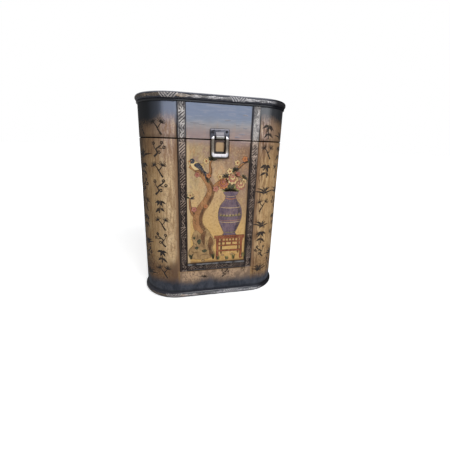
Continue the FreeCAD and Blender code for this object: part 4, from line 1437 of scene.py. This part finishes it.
def area_light(name, place, target, size, radiance, colour):
    """Soft rectangular light; radiance is what a mirror would show of it, where 1 is white."""
    lamp = bpy.data.lights.new(name, "AREA")
    lamp.shape = "RECTANGLE"
    lamp.size, lamp.size_y = size
    lamp.energy = radiance * math.pi * size[0] * size[1]
    lamp.color = colour
    holder = bpy.data.objects.new(name, lamp)
    bpy.context.scene.collection.objects.link(holder)
    holder.location = place
    holder.rotation_euler = (Vector(target) - Vector(place)).to_track_quat("-Z", "Y").to_euler()
    holder.visible_camera = False


def lights():
    """A tall soft window behind the camera, a smaller lamp above it, and a soft light behind the box."""
    turn = math.radians(WINDOW_AZIMUTH)
    height = WINDOW_FOOT + 0.5 * WINDOW_SIZE[1]
    place = (WINDOW_DISTANCE * math.sin(turn), -WINDOW_DISTANCE * math.cos(turn), height)
    area_light("window", place, (0, 0, height), WINDOW_SIZE, WINDOW_RADIANCE, WINDOW_COLOUR)
    area_light("key", KEY_PLACE, MIDDLE, KEY_SIZE, KEY_RADIANCE, KEY_COLOUR)
    area_light("back_light", BACK_PLACE, MIDDLE, BACK_SIZE, BACK_RADIANCE, WHITE)


def white_world():
    """White where it is seen, and a soft grey as light."""
    world = bpy.data.worlds.new("studio")
    world.use_nodes = True
    bpy.context.scene.world = world
    w = Shading(world.node_tree)
    soft = w.node("ShaderNodeBackground", {"Color": AMBIENT})
    white = w.node("ShaderNodeBackground", {"Color": (*WHITE, 1.0)})
    choice = w.node("ShaderNodeMixShader", {0: w.seen_directly(), 1: soft, 2: white})
    w.feed(w.tree.nodes["World Output"].inputs["Surface"], choice)


def pale_floor():
    """Large pale floor that shows white but keeps the shadow."""
    half = 0.5 * FLOOR_SIDE / MM
    corners = [(-half, -half, 0), (half, -half, 0), (half, half, 0), (-half, half, 0)]
    f = Finish("floor_paint")
    reach = f.node("ShaderNodeVectorMath", {0: f.position}, "Value", operation="LENGTH")
    glow = reach.fade(FLOOR_WHITE_FROM / MM, FLOOR_WHITE_FULL / MM) * (1 - FLOOR_GLOW) + FLOOR_GLOW
    feeds = {
        "Base Color": FLOOR_COLOUR, "Roughness": FLOOR_ROUGHNESS, "Emission Color": (*WHITE, 1.0),
        "Emission Strength": f.seen_directly() * glow,
    }
    for name, value in feeds.items():
        f.feed(f.shader.inputs[name], value)
    new_piece("floor", corners, [(0, 1, 2, 3)], [f.material])


def camera():
    """Camera at the photograph's place, turn and angle of view."""
    turns = ((CAMERA_YAW, "Z"), (90 - CAMERA_PITCH, "X"), (CAMERA_ROLL, "Z"))
    yaw, pitch, roll = (Matrix.Rotation(math.radians(angle), 4, axis) for angle, axis in turns)
    data = bpy.data.cameras.new("camera")
    data.sensor_width = SENSOR_WIDTH
    data.lens = SENSOR_WIDTH * FOCAL_PIXELS / FRAME_PIXELS
    data.clip_start = CAMERA_NEAR
    holder = bpy.data.objects.new("camera", data)
    bpy.context.scene.collection.objects.link(holder)
    holder.matrix_world = Matrix.Translation(Vector(CAMERA_PLACE) * MM) @ yaw @ pitch @ roll
    bpy.context.scene.camera = holder


# Putting it together

def paint_node(name, material):
    """One material all over a CAD node."""
    slots = frame["nodes"][name].data.materials
    slots.clear()
    slots.append(material)


def main():
    bpy.context.scene.view_settings.view_transform = "Standard"
    strip = carved_strip_finish()
    rim = dark_rim_finish()
    nickel = bail_metal()
    finishes = {
        "aged_lacquer": aged_lacquer(), "picture_paint": picture_ground(), "carved_strip": strip,
        "dark_rim": rim, "inner_floor": inner_floor_finish(), "latch_metal": latch_metal(),
        "bail_metal": nickel,
        "hinge_metal": worn_metal("hinge_metal", (96, 82, 62), (140, 122, 92), (58, 46, 34), 0.36),
        "pin_steel": worn_metal("pin_steel", (88, 84, 80), (134, 130, 124), (52, 46, 42), 0.34),
    }
    for part in frame["record"]["subparts"]:
        paint_node(part["node"], finishes[part["material_slot"]])
    paint_node("latch_screws", worn_metal("dark_steel", (18, 18, 22), (54, 53, 58), (12, 11, 12), 0.34))
    carved_strip("carved_strip_left", "left_strip", "body", strip, first_mitre=1)
    carved_strip("carved_strip_right", "right_strip", "body", strip, first_mitre=-1)
    carved_strip(
        "carved_strip_bottom", "bottom_strip", "body", strip, first_mitre=1, last_mitre=1, upright=False,
    )
    carved_strip("carved_strip_left_lid", "lid_left_strip", "lid", strip)
    carved_strip("carved_strip_right_lid", "lid_right_strip", "lid", strip)
    rim_board("rim_top", "lid_top_board", "lid", rim, TOP_EDGE_RADIUS)
    rim_board("rim_base", "base_board", "body", rim, BASE_EDGE_RADIUS)
    latch_bail(nickel)
    ink = brushed_paint("ink", (44, 38, 34), (24, 20, 20), worn=(140, 108, 76), wear=0.7)
    ink_columns(ink)
    foot_sprigs(ink)
    garden_picture()
    lacquer_creases()
    lights()
    white_world()
    pale_floor()
    camera()


main()
